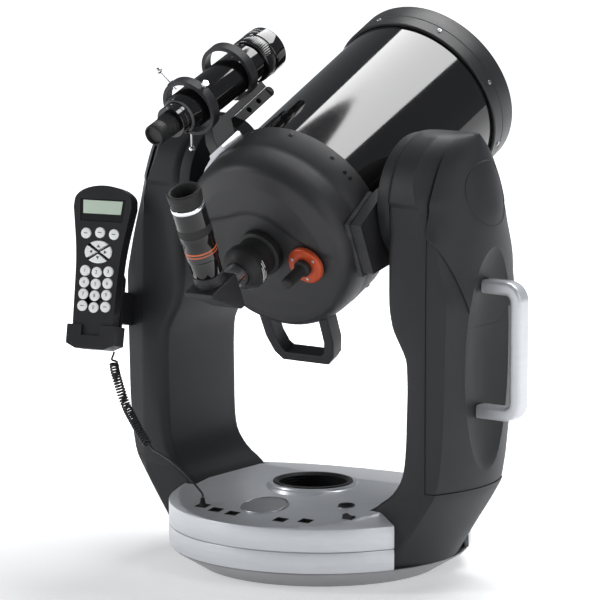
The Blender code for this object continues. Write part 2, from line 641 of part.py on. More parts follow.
def build_rear_cell(mats, altitude, optical):
    cell = piece("rear_cell", turned([
        (0.1140, REAR_LIP_S), (REAR_CELL_R - 0.001, REAR_LIP_S), (REAR_CELL_R, REAR_LIP_S - 0.001),
        (REAR_CELL_R, REAR_BAND_S), (0.1198, -0.1050), (0.1162, -0.1195), (0.1102, BACK_EDGE_S),
        (0.0800, -0.1335), (0.0450, -0.1355), (0.0255, -0.1355), (0.0255, -0.1303),
        (0.0800, -0.1283), (0.1050, -0.1245), (0.1140, -0.1000)], 44), mats["cell"], optical,
        rotation=ALONG_Y)
    for side in (-1, 1):
        pad = [(-0.112, -0.040), (-0.052, -0.052), (-0.052, 0.045), (-0.112, 0.034)]
        # The cell's own frame has its axis on Z, so the pad's height runs along -Y there.
        low, high = sorted((side * 0.1145, side * 0.1224))
        join(cell, slab([(-n, s) for s, n in pad], "X", low, high))
    cut(cell, cylinder(0.0052, -0.15, -0.10, 16), (FOCUS_X, -FOCUS_Z, 0.0))
    handle_s = (-0.1160, -0.0960)
    half = [(0.0530, -0.1000), (0.0515, -0.1420), (0.0450, -0.1640), (0.0350, -0.1750)]
    inner = [(0.0270, -0.1635), (0.0320, -0.1585), (0.0370, -0.1420), (0.0385, -0.1000)]
    outer = [(-x, z) for x, z in half] + half[::-1] + inner[::-1]
    outer += [(-x, z) for x, z in inner]
    handle = piece("rear_handle", slab(outer, "Y", *handle_s), mats["graphite"], optical)
    seat = [(r + GAP, s) for r, s in ((0.1102, BACK_EDGE_S), (0.1162, -0.1195), (0.1198, -0.1050),
                                      (REAR_CELL_R, REAR_BAND_S))]
    core = [(0.0, -0.15), (seat[0][0], -0.15)] + seat + [(seat[-1][0], -0.04), (0.0, -0.04)]
    cut(handle, turned(core, 44), rotation=ALONG_Y)


def build_trunnion(mats, altitude, side, name):
    """Side plate bolted to the rear cell, with the stub shaft that the arm's bearing holds."""
    shoulder = arc((0.0, 0.0), 0.036, -80, 100, 8)
    outline = [(-0.110, -0.042), (-0.055, -0.054)] + shoulder + [(-0.055, 0.038), (-0.110, 0.026)]
    plate = piece(name, x_slab(side, outline, 0.1228, 0.1385), mats["cell"], altitude)
    join(plate, cylinder(0.0200, 0.1300 * side, 0.1900 * side, 24), rotation=ALONG_X)


def build_focuser(mats, optical, focus):
    piece("focuser_plate", turned([
        (0.0055, -0.1425), (0.0220, -0.1425), (0.0240, -0.1405), (0.0240, -0.1359),
        (0.0055, -0.1359)], 32), mats["orange"], optical, (FOCUS_X, 0.0, FOCUS_Z), ALONG_Y)
    piece("focus_knob", turned([
        (0.0, -0.1840), (0.0062, -0.1840), (0.0076, -0.1820), (0.0076, -0.1510), (0.0110, -0.1490),
        (0.0110, -0.1428), (0.0042, -0.1428), (0.0042, -0.1100), (0.0, -0.1100)], 16),
        mats["rubber"], focus, rotation=ALONG_Y)


def build_visual_back(mats, optical, diagonal, eye, screw):
    back = piece("visual_back", turned([
        (0.0163, -0.1315), (0.0163, -0.1920), (0.0205, -0.1920), (0.0280, -0.1810),
        (0.0290, -0.1690), (0.0256, -0.1665), (0.0256, -0.1475), (0.0300, -0.1460),
        (0.0300, -0.1360), (0.0250, -0.1360), (0.0250, -0.1315)], 28), mats["rubber"], optical,
        rotation=ALONG_Y)
    cut(back, cylinder(0.0024, -0.040, -0.010, 10), (0.0, 0.0, -0.1570), ALONG_X)
    piece("back_thumbscrew", turned([
        (0.0, 0.0165), (0.0019, 0.0165), (0.0019, 0.0300), (0.0030, 0.0305), (0.0055, 0.0320),
        (0.0055, 0.0400), (0.0045, 0.0410), (0.0, 0.0410)], 12), mats["steel"], screw)
    body = piece("star_diagonal", slab([
        (-0.2178, -0.0260), (-0.2178, 0.0200), (-0.2700, 0.0200), (-0.2700, 0.0150),
        (-0.2260, -0.0260)], "X", -0.0215, 0.0215), mats["graphite"], diagonal)
    join(body, cylinder(0.0158, -0.2200, -0.1400, 24), rotation=ALONG_Y)
    join(body, cylinder(0.0190, 0.0150, 0.0340, 24), (0.0, DIAGONAL_S, 0.0))
    cut(body, cylinder(0.0135, -0.2300, -0.1300, 16), rotation=ALONG_Y)
    cut(body, cylinder(0.0160, 0.0, 0.0400, 24), (0.0, DIAGONAL_S, 0.0))
    piece("eyepiece", turned([
        (0.0, 0.0120), (0.0157, 0.0120), (0.0157, 0.0343), (0.0185, 0.0343), (0.0185, 0.0560),
        (0.0198, 0.0575), (0.0198, 0.0800), (0.0205, 0.0815), (0.0205, 0.1240), (0.0212, 0.1250),
        (0.0212, 0.1290), (0.0200, 0.1300), (0.0215, 0.1450), (0.0205, 0.1485), (0.0160, 0.1480),
        (0.0145, 0.1360), (0.0, 0.1360)], 20), mats["gloss"], eye)


# ---- finder ------------------------------------------------------------------------------
RING_S = (-0.0690, -0.0550)
FRONT_RING_S = (0.0180, 0.0320)
RING_R = 0.0380


def build_finder_bracket(mats, finder):
    """Saddle, bracket and clamp. The frame's Z is the radius, with zero on the ring axis."""
    def on_cell(radius, degrees):
        a = math.radians(degrees)
        return (radius * math.sin(a), radius * math.cos(a) - FINDER_R)

    saddle = [on_cell(REAR_CELL_R + GAP, a) for a in (7, 0, -8, -16, -24)]
    saddle += [on_cell(0.1262, a) for a in (-24, -16, -8)]
    saddle += [(-0.0140, 0.1288 - FINDER_R), (0.0140, 0.1288 - FINDER_R), on_cell(0.1262, 7)]
    piece("finder_base", slab(saddle, "Y", -0.0830, -0.0450), mats["silver"], finder)
    foot = 0.1291 - FINDER_R
    stem = [(-0.0850, foot), (-0.0460, foot), (-0.0350, -0.0450), (0.0460, -0.0445),
            (0.0460, -0.0345), (-0.0550, -0.0345), (-0.0700, -0.0370), (-0.0800, -0.0480)]
    bracket = piece("finder_bracket", slab(stem, "X", -0.0090, 0.0090), mats["cell"], finder)
    for near, far in (RING_S, FRONT_RING_S):
        join(bracket, ring(RING_R, 0.0328, near, far, 28), rotation=ALONG_Y)
    for x, z in SCREW_WAYS:
        cut(bracket, cylinder(0.0023, 0.030, 0.045, 10), (0.0, -0.0620, 0.0),
            (0.0, math.atan2(x, z), 0.0))
    rail = [(-0.0300, -0.0453), (0.0400, -0.0448), (0.0400, -0.0580), (-0.0220, -0.0580)]
    clamp = piece("bracket_clamp", slab(rail, "X", -0.0105, 0.0105), mats["rubber"], finder)
    for s in (-0.004, 0.018):
        cut(clamp, cylinder(0.0036, -0.02, 0.02, 12), (0.0, s, -0.0515), ALONG_X)


def build_finder_scope(mats, scope):
    """The finder telescope itself, about its own slightly tilted axis."""
    piece("finder_tube", turned([
        (0.0110, -0.1060), (0.0205, -0.1060), (0.0205, -0.0900), (0.0235, -0.0890),
        (0.0255, -0.0810), (0.0255, 0.0600), (0.0240, 0.0600), (0.0240, -0.0800), (0.0190, -0.0880),
        (0.0110, -0.0880)], 28), mats["gloss"], scope, rotation=ALONG_Y)
    piece("finder_eyepiece", turned([
        (0.0, -0.0960), (0.0105, -0.0960), (0.0105, -0.1063), (0.0150, -0.1063), (0.0150, -0.1150),
        (0.0135, -0.1165), (0.0135, -0.1417), (0.0115, -0.1417), (0.0100, -0.1380),
        (0.0, -0.1380)], 20), mats["rubber"], scope, rotation=ALONG_Y)
    piece("finder_objective", turned([
        (0.0, 0.0603), (0.0285, 0.0603), (0.0300, 0.0620), (0.0300, 0.0985), (0.0290, 0.0997),
        (0.0262, 0.0997), (0.0255, 0.0780), (0.0, 0.0790)], 28), mats["gloss"], scope,
        rotation=ALONG_Y)


def screw_shape(head, ball):
    """Radial adjusting screw: thin stem, then a ball or a knurled cap."""
    stem = [(0.0, 0.0264), (0.0018, 0.0264), (0.0018, 0.0425)]
    if ball:
        stem += [(0.0014, 0.0430), (0.0014, head - 0.004), (0.0036, head - 0.001),
                 (0.0036, head + 0.002), (0.0, head + 0.005)]
    else:
        stem += [(0.0048, 0.0435), (0.0048, head), (0.0038, head + 0.001), (0.0, head + 0.001)]
    return turned(stem, 12)


def build_finder_screws(mats, finder):
    names = ("finder_screw_top", "finder_screw_left", "finder_plunger")
    for name, (x, z), head in zip(names, SCREW_WAYS, (0.0580, 0.0640, 0.0480)):
        axis = pivot(name + "_axis", (0.0, -0.0620, 0.0), (0.0, math.atan2(x, z), 0.0), finder)
        piece(name, screw_shape(head, name != "finder_plunger"), mats["steel"], axis)
    axis = pivot("clamp_knob_axis", (0.0, 0.0403, -0.0515), ALONG_Y, finder)
    piece("clamp_knob", turned([(0.0, 0.0), (0.0030, 0.0), (0.0030, 0.0050), (0.0068, 0.0060),
                                (0.0068, 0.0130), (0.0058, 0.0140), (0.0, 0.0140)], 14),
          mats["rubber"], axis)


# ---- hand control ------------------------------------------------------------------------
KEY_R = 0.0068
KEY_ROWS = [(0.1390, 0.0192, 0.0015), (0.0920, 0.0160, -0.0015), (0.0772, 0.0160, -0.0015),
            (0.0624, 0.0158, -0.0015), (0.0476, 0.0158, -0.0015)]
ARROWS = (0.1160, 0.0186, 0.0142)       # height, half width and half height of the arrow pad
BODY_LINE = [(0.0260, 0.0020), (0.0275, 0.0300), (0.0300, 0.1140), (0.0398, 0.1720)]


def control_outline(inset=0.0):
    """Hand control seen from the front: narrow grip, wide head, arched top."""
    right = [(x - inset, z) for x, z in BODY_LINE]
    right[0] = (right[0][0], right[0][1] + inset)
    top = [(0.0392 * math.cos(math.radians(t)) * (1 - inset / 0.039),
            0.1800 + (0.0200 - inset) * math.sin(math.radians(t))) for t in (5, 28, 52, 76)]
    side = right + top
    return side + [(-x, z) for x, z in reversed(side)]


def key_places():
    return [(dx * column, z + (dip if dx == 0 else 0.0))
            for z, column, dip in KEY_ROWS for dx in (-1, 0, 1)]


def build_control(mats, seat, keys):
    """Case, back, display and rubber keypad. The control's face looks along -Y of its frame."""
    case = piece("control_case", slab(control_outline(), "Y", 0.0, CONTROL_DEPTH - 0.0033),
                 mats["graphite"], seat)
    cut(case, slab(control_outline(0.0022), "Y", 0.0024, 0.05))
    for x, z in key_places():
        cut(case, slab(circle((x, z), KEY_R + 0.0004, 9), "Y", -0.01, 0.01))
    z, half_w, half_h = ARROWS
    pad = [(x * (half_w + 0.0004) / half_w, z + y) for x, y in
           [(half_w * math.cos(math.radians(t)), (half_h + 0.0004) * math.sin(math.radians(t)))
            for t in range(0, 360, 20)]]
    cut(case, slab(pad, "Y", -0.01, 0.01))
    window = [(0.0286, 0.1545), (0.0310, 0.1825), (-0.0310, 0.1825), (-0.0286, 0.1545)]
    cut(case, slab(window, "Y", -0.01, 0.01))
    glass = [(x * 0.985, z + (0.0004 if z < 0.17 else -0.0004)) for x, z in window]
    piece("display_window", slab(glass, "Y", 0.0006, 0.0022), mats["display"], seat)
    piece("control_back", slab(control_outline(), "Y", CONTROL_DEPTH - 0.0030, CONTROL_DEPTH),
          mats["graphite"], seat)
    build_keypad(mats, keys)


def build_keypad(mats, keys):
    """One rubber moulding: a web behind the face and the keys that stand through it."""
    web = [(0.0235, 0.0380), (0.0250, 0.1000), (0.0285, 0.1480), (-0.0285, 0.1480),
           (-0.0250, 0.1000), (-0.0235, 0.0380)]
    pad = piece("keypad", slab(web, "Y", 0.0045, 0.0060), mats["keys"], keys)
    for x, z in key_places():
        join(pad, slab(circle((x, z), KEY_R, 9), "Y", -0.0016, 0.0052))
    z, half_w, half_h = ARROWS
    for quarter in range(4):
        middle = 90 * quarter
        spread = 33 if quarter % 2 == 0 else 41
        points = [(half_w * math.cos(math.radians(t)), z + half_h * math.sin(math.radians(t)))
                  for t in range(middle - spread, middle + spread + 1, spread // 2)]
        a = math.radians(middle)
        points.append((0.0030 * math.cos(a), z + 0.0030 * math.sin(a)))
        join(pad, slab(points, "Y", -0.0016, 0.0052))


def build_holder(mats, azimuth, seat):
    """Cradle on the left arm: a pocket for the control's foot and a back strap to the arm."""
    outer = [(0.0330, 0.0240), (0.0330, 0.0000), (0.0200, -0.0060), (-0.0200, -0.0060),
             (-0.0330, 0.0000), (-0.0330, 0.0240)]
    holder = piece("control_holder", slab(outer, "Y", -0.0035, CONTROL_DEPTH + 0.0060),
                   mats["graphite"], seat)
    inner = [(0.0290, 0.0700), (0.0290, 0.0020), (0.0255, 0.0010), (-0.0255, 0.0010),
             (-0.0290, 0.0020), (-0.0290, 0.0700)]
    cut(holder, slab(inner, "Y", -0.0008, CONTROL_DEPTH + 0.0008))
    strap = [(0.0290, 0.0100), (0.0290, 0.0850), (0.0220, 0.0980), (-0.0120, 0.0980),
             (-0.0180, 0.0900), (-0.0180, 0.0100)]
    join(holder, slab(strap, "Y", CONTROL_DEPTH + 0.0010, CONTROL_DEPTH + 0.0060))
    join(holder, block((0.0100, CONTROL_DEPTH + 0.0040, 0.0300), (0.0250, 0.0900, 0.0700)))
    cut(holder, slab([(-0.0130, 0.030), (-0.0130, 0.0110), (0.0130, 0.0110), (0.0130, 0.030)],
                     "Y", -0.02, -0.0005))
    # The stand-off stops just short of the arm's front face, which lies square to the world.
    face = ARM_HALF_W + 0.0025 + 0.0006
    arm = [(-0.12, -face), (-0.2113, -face), (-0.2450, -0.0802), (-0.2700, -0.0550), (-0.2700, 0.05),
           (-0.12, 0.05)]
    combine(holder, slab(arm, "Z", 0.20, 0.48), "DIFFERENCE", free=True)


# ---- cord --------------------------------------------------------------------------------
COIL_ROUTE = [(-0.2201, -0.1367, 0.2626), (-0.2196, -0.1378, 0.2480), (-0.2205, -0.1310, 0.2285),
              (-0.2124, -0.1250, 0.1961), (-0.1927, -0.1320, 0.1764), (-0.1715, -0.1380, 0.1567),
              (-0.1540, -0.1415, 0.1450)]
LEAD_ROUTE = [(-0.1532, -0.1417, 0.1444), (-0.1376, -0.1440, 0.1405), (-0.1166, -0.1470, 0.1322),
              (-0.0960, -0.1485, 0.1200), (-0.0815, -0.1478, 0.1080), (-0.0743, -0.1466, 0.1000),
              (-0.0740, -0.1465, 0.0959)]
COIL_OUTER_R = 0.0065
CORD_R = 0.0013


def smooth_route(points, steps):
    """Catmull-Rom curve through the route's own points."""
    points = [Vector(p) for p in points]
    ends = [points[0] * 2 - points[1]] + points + [points[-1] * 2 - points[-2]]
    route = []
    for a, b, c, d in zip(ends, ends[1:], ends[2:], ends[3:]):
        for i in range(steps):
            t = i / steps
            route.append(0.5 * ((2 * b) + (c - a) * t + (2 * a - 5 * b + 4 * c - d) * t * t
                                + (3 * b - a - 3 * c + d) * t ** 3))
    return route + [points[-1]]


def cord_tube(name, route, radius, resolution, mat, parent):
    curve = bpy.data.curves.new(name, "CURVE")
    curve.dimensions = "3D"
    curve.bevel_depth = radius
    curve.bevel_resolution = resolution
    curve.use_fill_caps = True
    spline = curve.splines.new("POLY")
    spline.points.add(len(route) - 1)
    for point, place in zip(spline.points, route):
        point.co = (*place, 1.0)
    curve.materials.append(mat)
    obj = bpy.data.objects.new(name, curve)
    obj.parent = parent
    bpy.context.scene.collection.objects.link(obj)


def build_cord(mats, azimuth):
    cord_tube("cord_coil", smooth_route(COIL_ROUTE, 2), COIL_OUTER_R, 3, mats["rubber"], azimuth)
    cord_tube("cord_lead", smooth_route(LEAD_ROUTE, 3), CORD_R, 2, mats["rubber"], azimuth)
    x, y = PORTS[0]
    piece("cord_plug", turned([
        (0.0, 0.0774), (0.0048, 0.0774), (0.0048, 0.0880), (0.0036, 0.0890), (0.0024, 0.0955),
        (0.0, 0.0955)], 12), mats["rubber"], azimuth, (x, y, 0.0))


# ---- assembly ----------------------------------------------------------------------------
def main():
    for obj in list(bpy.data.objects):
        bpy.data.objects.remove(obj, do_unlink=True)
    mats = make_materials()
    azimuth = pivot("azimuth_axis", (0.0, 0.0, 0.0))
    altitude = pivot("altitude_axis", (0.0, 0.0, ALTITUDE_Z), (ALTITUDE, 0.0, 0.0), azimuth)
    optical = pivot("optical_axis", (0.0, 0.0, -TUBE_DROP), parent=altitude)
    build_base(mats, azimuth)
    build_drive_base(mats, azimuth)
    build_azimuth_drive(mats, azimuth)
    build_arm(mats, azimuth, 1, "right_arm")
    build_arm(mats, azimuth, -1, "left_arm")
    build_right_covers(mats, azimuth)
    build_left_cover(mats, azimuth)
    build_handle(mats, azimuth)
    build_altitude_drive(mats, azimuth)

    build_tube(mats, altitude, optical)
    build_rear_cell(mats, altitude, optical)
    build_trunnion(mats, altitude, 1, "right_trunnion")
    build_trunnion(mats, altitude, -1, "left_trunnion")
    gear = piece("altitude_gear", slab(gear_outline(ALTITUDE_GEAR_R, GEAR_TEETH, 0.003), "Z",
                                       0.1720, 0.1800), mats["brass"], altitude, rotation=ALONG_X)
    cut(gear, cylinder(0.0203, 0.16, 0.19, 24))
    focus = pivot("focus_axis", (FOCUS_X, 0.0, FOCUS_Z), parent=optical)
    build_focuser(mats, optical, focus)
    diagonal = pivot("diagonal_axis", (0.0, 0.0, 0.0), parent=optical)
    eye = pivot("eyepiece_axis", (0.0, DIAGONAL_S, 0.0), parent=diagonal)
    screw = pivot("thumbscrew_axis", (0.0, -0.1570, 0.0), (0.0, math.radians(-90), 0.0), optical)
    build_visual_back(mats, optical, diagonal, eye, screw)
    radial = pivot("finder_radius", (0.0, 0.0, 0.0), (0.0, -FINDER_ANGLE, 0.0), optical)
    finder = pivot("finder_axis", (0.0, 0.0, FINDER_R), parent=radial)
    scope = pivot("scope_axis", (0.0, 0.0, FINDER_SINK), (-FINDER_DIP, 0.0, 0.0), finder)
    build_finder_bracket(mats, finder)
    build_finder_scope(mats, scope)
    build_finder_screws(mats, finder)

    seat = pivot("hand_control_seat", CONTROL_SEAT, CONTROL_TILT, azimuth, "YXZ")
    keys = pivot("keypad_travel", (0.0, 0.0, 0.0), parent=seat)
    build_control(mats, seat, keys)
    build_holder(mats, azimuth, seat)
    build_cord(mats, azimuth)


main()
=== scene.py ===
"""Looks of a fork-mounted Schmidt-Cassegrain telescope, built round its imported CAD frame."""
import json
import math

import bmesh
import bpy
from mathutils import Matrix, Vector


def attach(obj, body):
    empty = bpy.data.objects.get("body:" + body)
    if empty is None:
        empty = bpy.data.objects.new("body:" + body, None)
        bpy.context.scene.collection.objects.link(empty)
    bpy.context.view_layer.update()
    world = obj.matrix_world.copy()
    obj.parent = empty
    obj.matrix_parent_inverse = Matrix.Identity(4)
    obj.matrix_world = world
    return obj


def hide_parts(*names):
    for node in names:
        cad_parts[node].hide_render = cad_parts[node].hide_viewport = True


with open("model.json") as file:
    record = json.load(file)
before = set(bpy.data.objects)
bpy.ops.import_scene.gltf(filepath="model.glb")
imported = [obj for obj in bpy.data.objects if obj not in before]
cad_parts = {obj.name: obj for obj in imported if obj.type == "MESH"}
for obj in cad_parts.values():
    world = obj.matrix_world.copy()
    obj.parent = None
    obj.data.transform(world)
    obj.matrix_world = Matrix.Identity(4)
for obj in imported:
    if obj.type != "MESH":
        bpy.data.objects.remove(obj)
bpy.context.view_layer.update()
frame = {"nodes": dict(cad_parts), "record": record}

def spin(degrees, axis):
    """Rotation about a main axis."""
    return Matrix.Rotation(math.radians(degrees), 4, axis)


def move(x, y, z):
    return Matrix.Translation((x, y, z))


# ---- frames and sizes shared with the CAD ------------------------------------------------
ALTITUDE_Z = 0.470
TUBE_FRAME = (move(0.0, 0.0, ALTITUDE_Z) @ spin(24.4, "X")
              @ move(0.0, 0.0, -0.0064))       # Y is the optical axis
FINDER_FRAME = (TUBE_FRAME @ spin(-36.2, "Y") @ move(0.0, 0.0, 0.1892))
SCOPE_FRAME = (FINDER_FRAME @ move(0.0, 0.0, -0.0042) @ spin(-3.1, "X"))
SEAT_FRAME = (move(-0.2390, -0.1600, 0.2735) @ spin(14, "Z") @ spin(-13, "X"))
TURNED = spin(-90, "X")                # a turned shape's Z to the frame's Y
WORLD = Matrix.Identity(4)
DIAGONAL_S = -0.2425
FOCUS = (0.063, 0.0, -0.0130)
SCREW_WAYS = [(0.0, 1.0), (-0.8, -0.6), (0.985, 0.17)]


# ---- camera ------------------------------------------------------------------------------
LENS_MM = 240.63
CAMERA_AT = (2.869, -4.021, 1.1258)
CAMERA_DOWN = 9.14                     # degrees below level
CAMERA_LEFT = 35.8                     # degrees from +Y towards -X
FAR_CLIP = 200.0


def build_camera():
    data = bpy.data.cameras.new("camera")
    data.lens = LENS_MM
    data.clip_end = FAR_CLIP
    camera = bpy.data.objects.new("camera", data)
    camera.location = CAMERA_AT
    camera.rotation_euler = (math.radians(90 - CAMERA_DOWN), 0.0, math.radians(CAMERA_LEFT))
    bpy.context.scene.collection.objects.link(camera)
    bpy.context.scene.camera = camera


build_camera()


# ---- materials ---------------------------------------------------------------------------
MATS = {}
WORN_FROM, WORN_TO = 0.56, 0.66        # pointiness at which an edge starts to be and is worn


def set_inputs(node, values):
    for name, value in values.items():
        node.inputs[name].default_value = value


def surface(name, colour, second=None, rough=(0.4, 0.5), metallic=0.0, grain=900.0, bump=0.1,
            depth=0.0002, broad=9.0, ior=1.5, wear=None, transmission=0.0, specular=0.5,
            brushed=1.0):
    """Adds a surface to MATS: broad colour drift, fine grain in bump and roughness, worn edges."""
    mat = bpy.data.materials.new(name)
    mat.use_nodes = True
    nodes, links = mat.node_tree.nodes, mat.node_tree.links
    shader = nodes["Principled BSDF"]
    set_inputs(shader, {"Metallic": metallic, "IOR": ior, "Transmission Weight": transmission,
        "Specular IOR Level": specular})
    coords = nodes.new("ShaderNodeTexCoord")
    along = nodes.new("ShaderNodeMapping")
    along.inputs["Scale"].default_value = (1.0, 1.0, brushed)
    links.new(coords.outputs["Object"], along.inputs["Vector"])

    def noise(scale, detail):
        node = nodes.new("ShaderNodeTexNoise")
        set_inputs(node, {"Scale": scale, "Detail": detail, "Roughness": 0.6})
        links.new(along.outputs["Vector"], node.inputs["Vector"])
        return node.outputs["Fac"]

    def mapped(value, low, high, start=0.3, end=0.7):
        node = nodes.new("ShaderNodeMapRange")
        links.new(value, node.inputs["Value"])
        set_inputs(node, {"From Min": start, "From Max": end, "To Min": low, "To Max": high})
        return node.outputs["Result"]

    def mixed(factor, a, b):
        node = nodes.new("ShaderNodeMix")
        node.data_type = "RGBA"
        links.new(factor, node.inputs["Factor"])
        for socket, value in (("A", a), ("B", b)):
            target = [s for s in node.inputs if s.name == socket and s.type == "RGBA"][0]
            if isinstance(value, tuple):
                target.default_value = (*value, 1.0)
            else:
                links.new(value, target)
        return [s for s in node.outputs if s.type == "RGBA"][0]

    fine, drift = noise(grain, 5.0), noise(broad, 3.0)
    second = second or tuple(c * 1.25 + 0.002 for c in colour)
    tone = mixed(mapped(drift, 0.0, 1.0), colour, second)
    if wear:
        point = nodes.new("ShaderNodeNewGeometry").outputs["Pointiness"]
        edge = nodes.new("ShaderNodeMath")
        edge.operation = "MULTIPLY"
        links.new(mapped(point, 0.0, 1.0, WORN_FROM, WORN_TO), edge.inputs[0])
        links.new(mapped(noise(60.0, 4.0), 0.15, 0.8, 0.4, 0.65), edge.inputs[1])
        tone = mixed(edge.outputs[0], tone, wear)
    links.new(tone, shader.inputs["Base Color"])
    blend = nodes.new("ShaderNodeMath")
    blend.operation = "ADD"
    links.new(drift, blend.inputs[0])
    links.new(fine, blend.inputs[1])
    links.new(mapped(blend.outputs[0], rough[0], rough[1], 0.7, 1.3), shader.inputs["Roughness"])
    dent = nodes.new("ShaderNodeBump")
    set_inputs(dent, {"Strength": bump, "Distance": depth})
    links.new(fine, dent.inputs["Height"])
    links.new(dent.outputs["Normal"], shader.inputs["Normal"])
    MATS[name] = mat


def build_materials():
    surface("silver_paint", (0.62, 0.635, 0.66), (0.67, 0.685, 0.71), (0.31, 0.37), 0.50, 420.0,
        0.02, 0.00004, broad=14.0, wear=(0.85, 0.86, 0.88), brushed=8.0)
    surface("grey_pan", (0.26, 0.26, 0.27), None, (0.40, 0.55), 0.3, 1400.0, 0.2)
    surface("graphite_casting", (0.015, 0.0155, 0.0175), (0.020, 0.0205, 0.0225), (0.44, 0.58), 0.0,
        1500.0, 0.22, 0.0002, specular=0.32)
    surface("graphite_cover", (0.017, 0.0175, 0.020), (0.022, 0.0225, 0.0255), (0.42, 0.56), 0.0,
        1500.0, 0.22, 0.0002, specular=0.34)
    surface("black_plastic", (0.012, 0.012, 0.0135), (0.017, 0.017, 0.019), (0.36, 0.50), 0.0,
        1800.0, 0.2, 0.0002, wear=(0.045, 0.045, 0.048), specular=0.35)
    surface("cell_paint", (0.016, 0.016, 0.0172), (0.021, 0.021, 0.0228), (0.38, 0.52), 0.0, 1300.0,
        0.35, 0.0003, wear=(0.07, 0.07, 0.075), specular=0.42)
    surface("tube_enamel", (0.0040, 0.0037, 0.0040), (0.005, 0.0046, 0.005), (0.05, 0.08), 0.0,
        60.0, 0.004, 0.0002, ior=1.6)
    surface("black_rubber", (0.009, 0.009, 0.0095), (0.013, 0.013, 0.0135), (0.45, 0.62), 0.0,
        1700.0, 0.3, 0.0002, wear=(0.03, 0.03, 0.032), specular=0.35)
    surface("gloss_black", (0.004, 0.004, 0.0045), (0.006, 0.006, 0.0065), (0.10, 0.18), 0.0, 300.0,
        0.02, 0.0001, specular=0.5)
    surface("cord_jacket", (0.009, 0.009, 0.010), None, (0.30, 0.42), 0.0, 1200.0, 0.08,
        specular=0.4)
    surface("steel", (0.45, 0.45, 0.47), None, (0.28, 0.40), 1.0, 700.0, 0.05)
    surface("bright_steel", (0.62, 0.62, 0.64), None, (0.12, 0.22), 1.0, 700.0, 0.03)
    surface("anodised_rail", (0.42, 0.43, 0.45), None, (0.26, 0.38), 1.0, 900.0, 0.05)
    surface("brass", (0.50, 0.36, 0.16), None, (0.28, 0.40), 1.0, 700.0, 0.05)
    surface("orange_anodised", (0.42, 0.050, 0.012), (0.48, 0.064, 0.017), (0.30, 0.44), 0.35,
        900.0, 0.08, wear=(0.70, 0.26, 0.15))
    surface("coated_glass", (0.80, 0.90, 0.86), (0.84, 0.93, 0.90), (0.0, 0.02), 0.0, 40.0, 0.0,
        ior=1.45, transmission=1.0)
    surface("mirror_coat", (0.90, 0.91, 0.92), None, (0.01, 0.03), 1.0, 60.0, 0.0)
    surface("key_silicone", (0.80, 0.81, 0.80), (0.86, 0.87, 0.85), (0.42, 0.54), 0.0, 1600.0, 0.08,
        specular=0.35)
    surface("circuit_board", (0.004, 0.005, 0.005), None, (0.35, 0.5), 0.0, 900.0, 0.1,
        specular=0.3)
    surface("display_face", (0.50, 0.60, 0.50), (0.54, 0.64, 0.53), (0.14, 0.20), 0.0, 1500.0, 0.02,
        specular=0.4)
    surface("print_white", (0.60, 0.60, 0.60), None, (0.45, 0.6), 0.0, 1600.0, 0.05)
    surface("print_grey", (0.08, 0.09, 0.10), None, (0.45, 0.6), 0.0, 1600.0, 0.1)
    surface("ring_orange", (0.40, 0.08, 0.02), None, (0.35, 0.5), 0.0, 1400.0, 0.05)
    surface("dark", (0.004, 0.004, 0.005), None, (0.5, 0.7), 0.0, 1400.0, 0.1, specular=0.25)


build_materials()


# ---- mesh helpers ------------------------------------------------------------------------
def bridge(bm, ring_a, ring_b):
    count = max(len(ring_a), len(ring_b))
    for i in range(count):
        j = (i + 1) % count
        corners = [ring_a[i % len(ring_a)], ring_a[j % len(ring_a)], ring_b[j % len(ring_b)],
            ring_b[i % len(ring_b)]]
        face = list(dict.fromkeys(corners))
        if len(face) > 2:
            bm.faces.new(face)


def finished(bm):
    bmesh.ops.recalc_face_normals(bm, faces=bm.faces)
    return bm


def turned(profile, steps=96, ripple=None):
    """Solid of revolution about Z; ripple(radius, z, angle) may move a point's radius."""
    bm = bmesh.new()
    rings = []
    for r, z in profile:
        if r < 1e-6:
            rings.append([bm.verts.new((0.0, 0.0, z))])
            continue
        ring = []
        for i in range(steps):
            a = 2 * math.pi * i / steps
            rr = ripple(r, z, a) if ripple else r
            ring.append(bm.verts.new((rr * math.cos(a), rr * math.sin(a), z)))
        rings.append(ring)
    for a, b in zip(rings, rings[1:]):
        bridge(bm, a, b)
    if len(rings[0]) > 1 and len(rings[-1]) > 1:
        bridge(bm, rings[-1], rings[0])
    return finished(bm)


def ridged(depth, count, inside):
    """Ripple for turned(): grooves round the stretch where inside(radius, z) holds."""
    def ripple(r, z, a):
        return r * (1.0 - depth * (0.5 + 0.5 * math.cos(count * a))) if inside(r, z) else r
    return ripple


def loft(rings, closed=False):
    bm = bmesh.new()
    made = [[bm.verts.new(p) for p in ring] for ring in rings]
    for a, b in zip(made, made[1:]):
        bridge(bm, a, b)
    if closed:
        bridge(bm, made[-1], made[0])
    else:
        bm.faces.new(made[0])
        bm.faces.new(made[-1])
    return finished(bm)


def slab(outline, axis, low, high):
    def at(u, v, w):
        return {"X": (w, u, v), "Y": (u, w, v), "Z": (u, v, w)}[axis]
    return loft([[at(u, v, low) for u, v in outline], [at(u, v, high) for u, v in outline]])


def together(parts):
    """One mesh from several (bmesh, matrix) parts."""
    bm = bmesh.new()
    for part, matrix in parts:
        part.transform(matrix)
        mesh = bpy.data.meshes.new("part")
        part.to_mesh(mesh)
        part.free()
        bm.from_mesh(mesh)
        bpy.data.meshes.remove(mesh)
    return bm


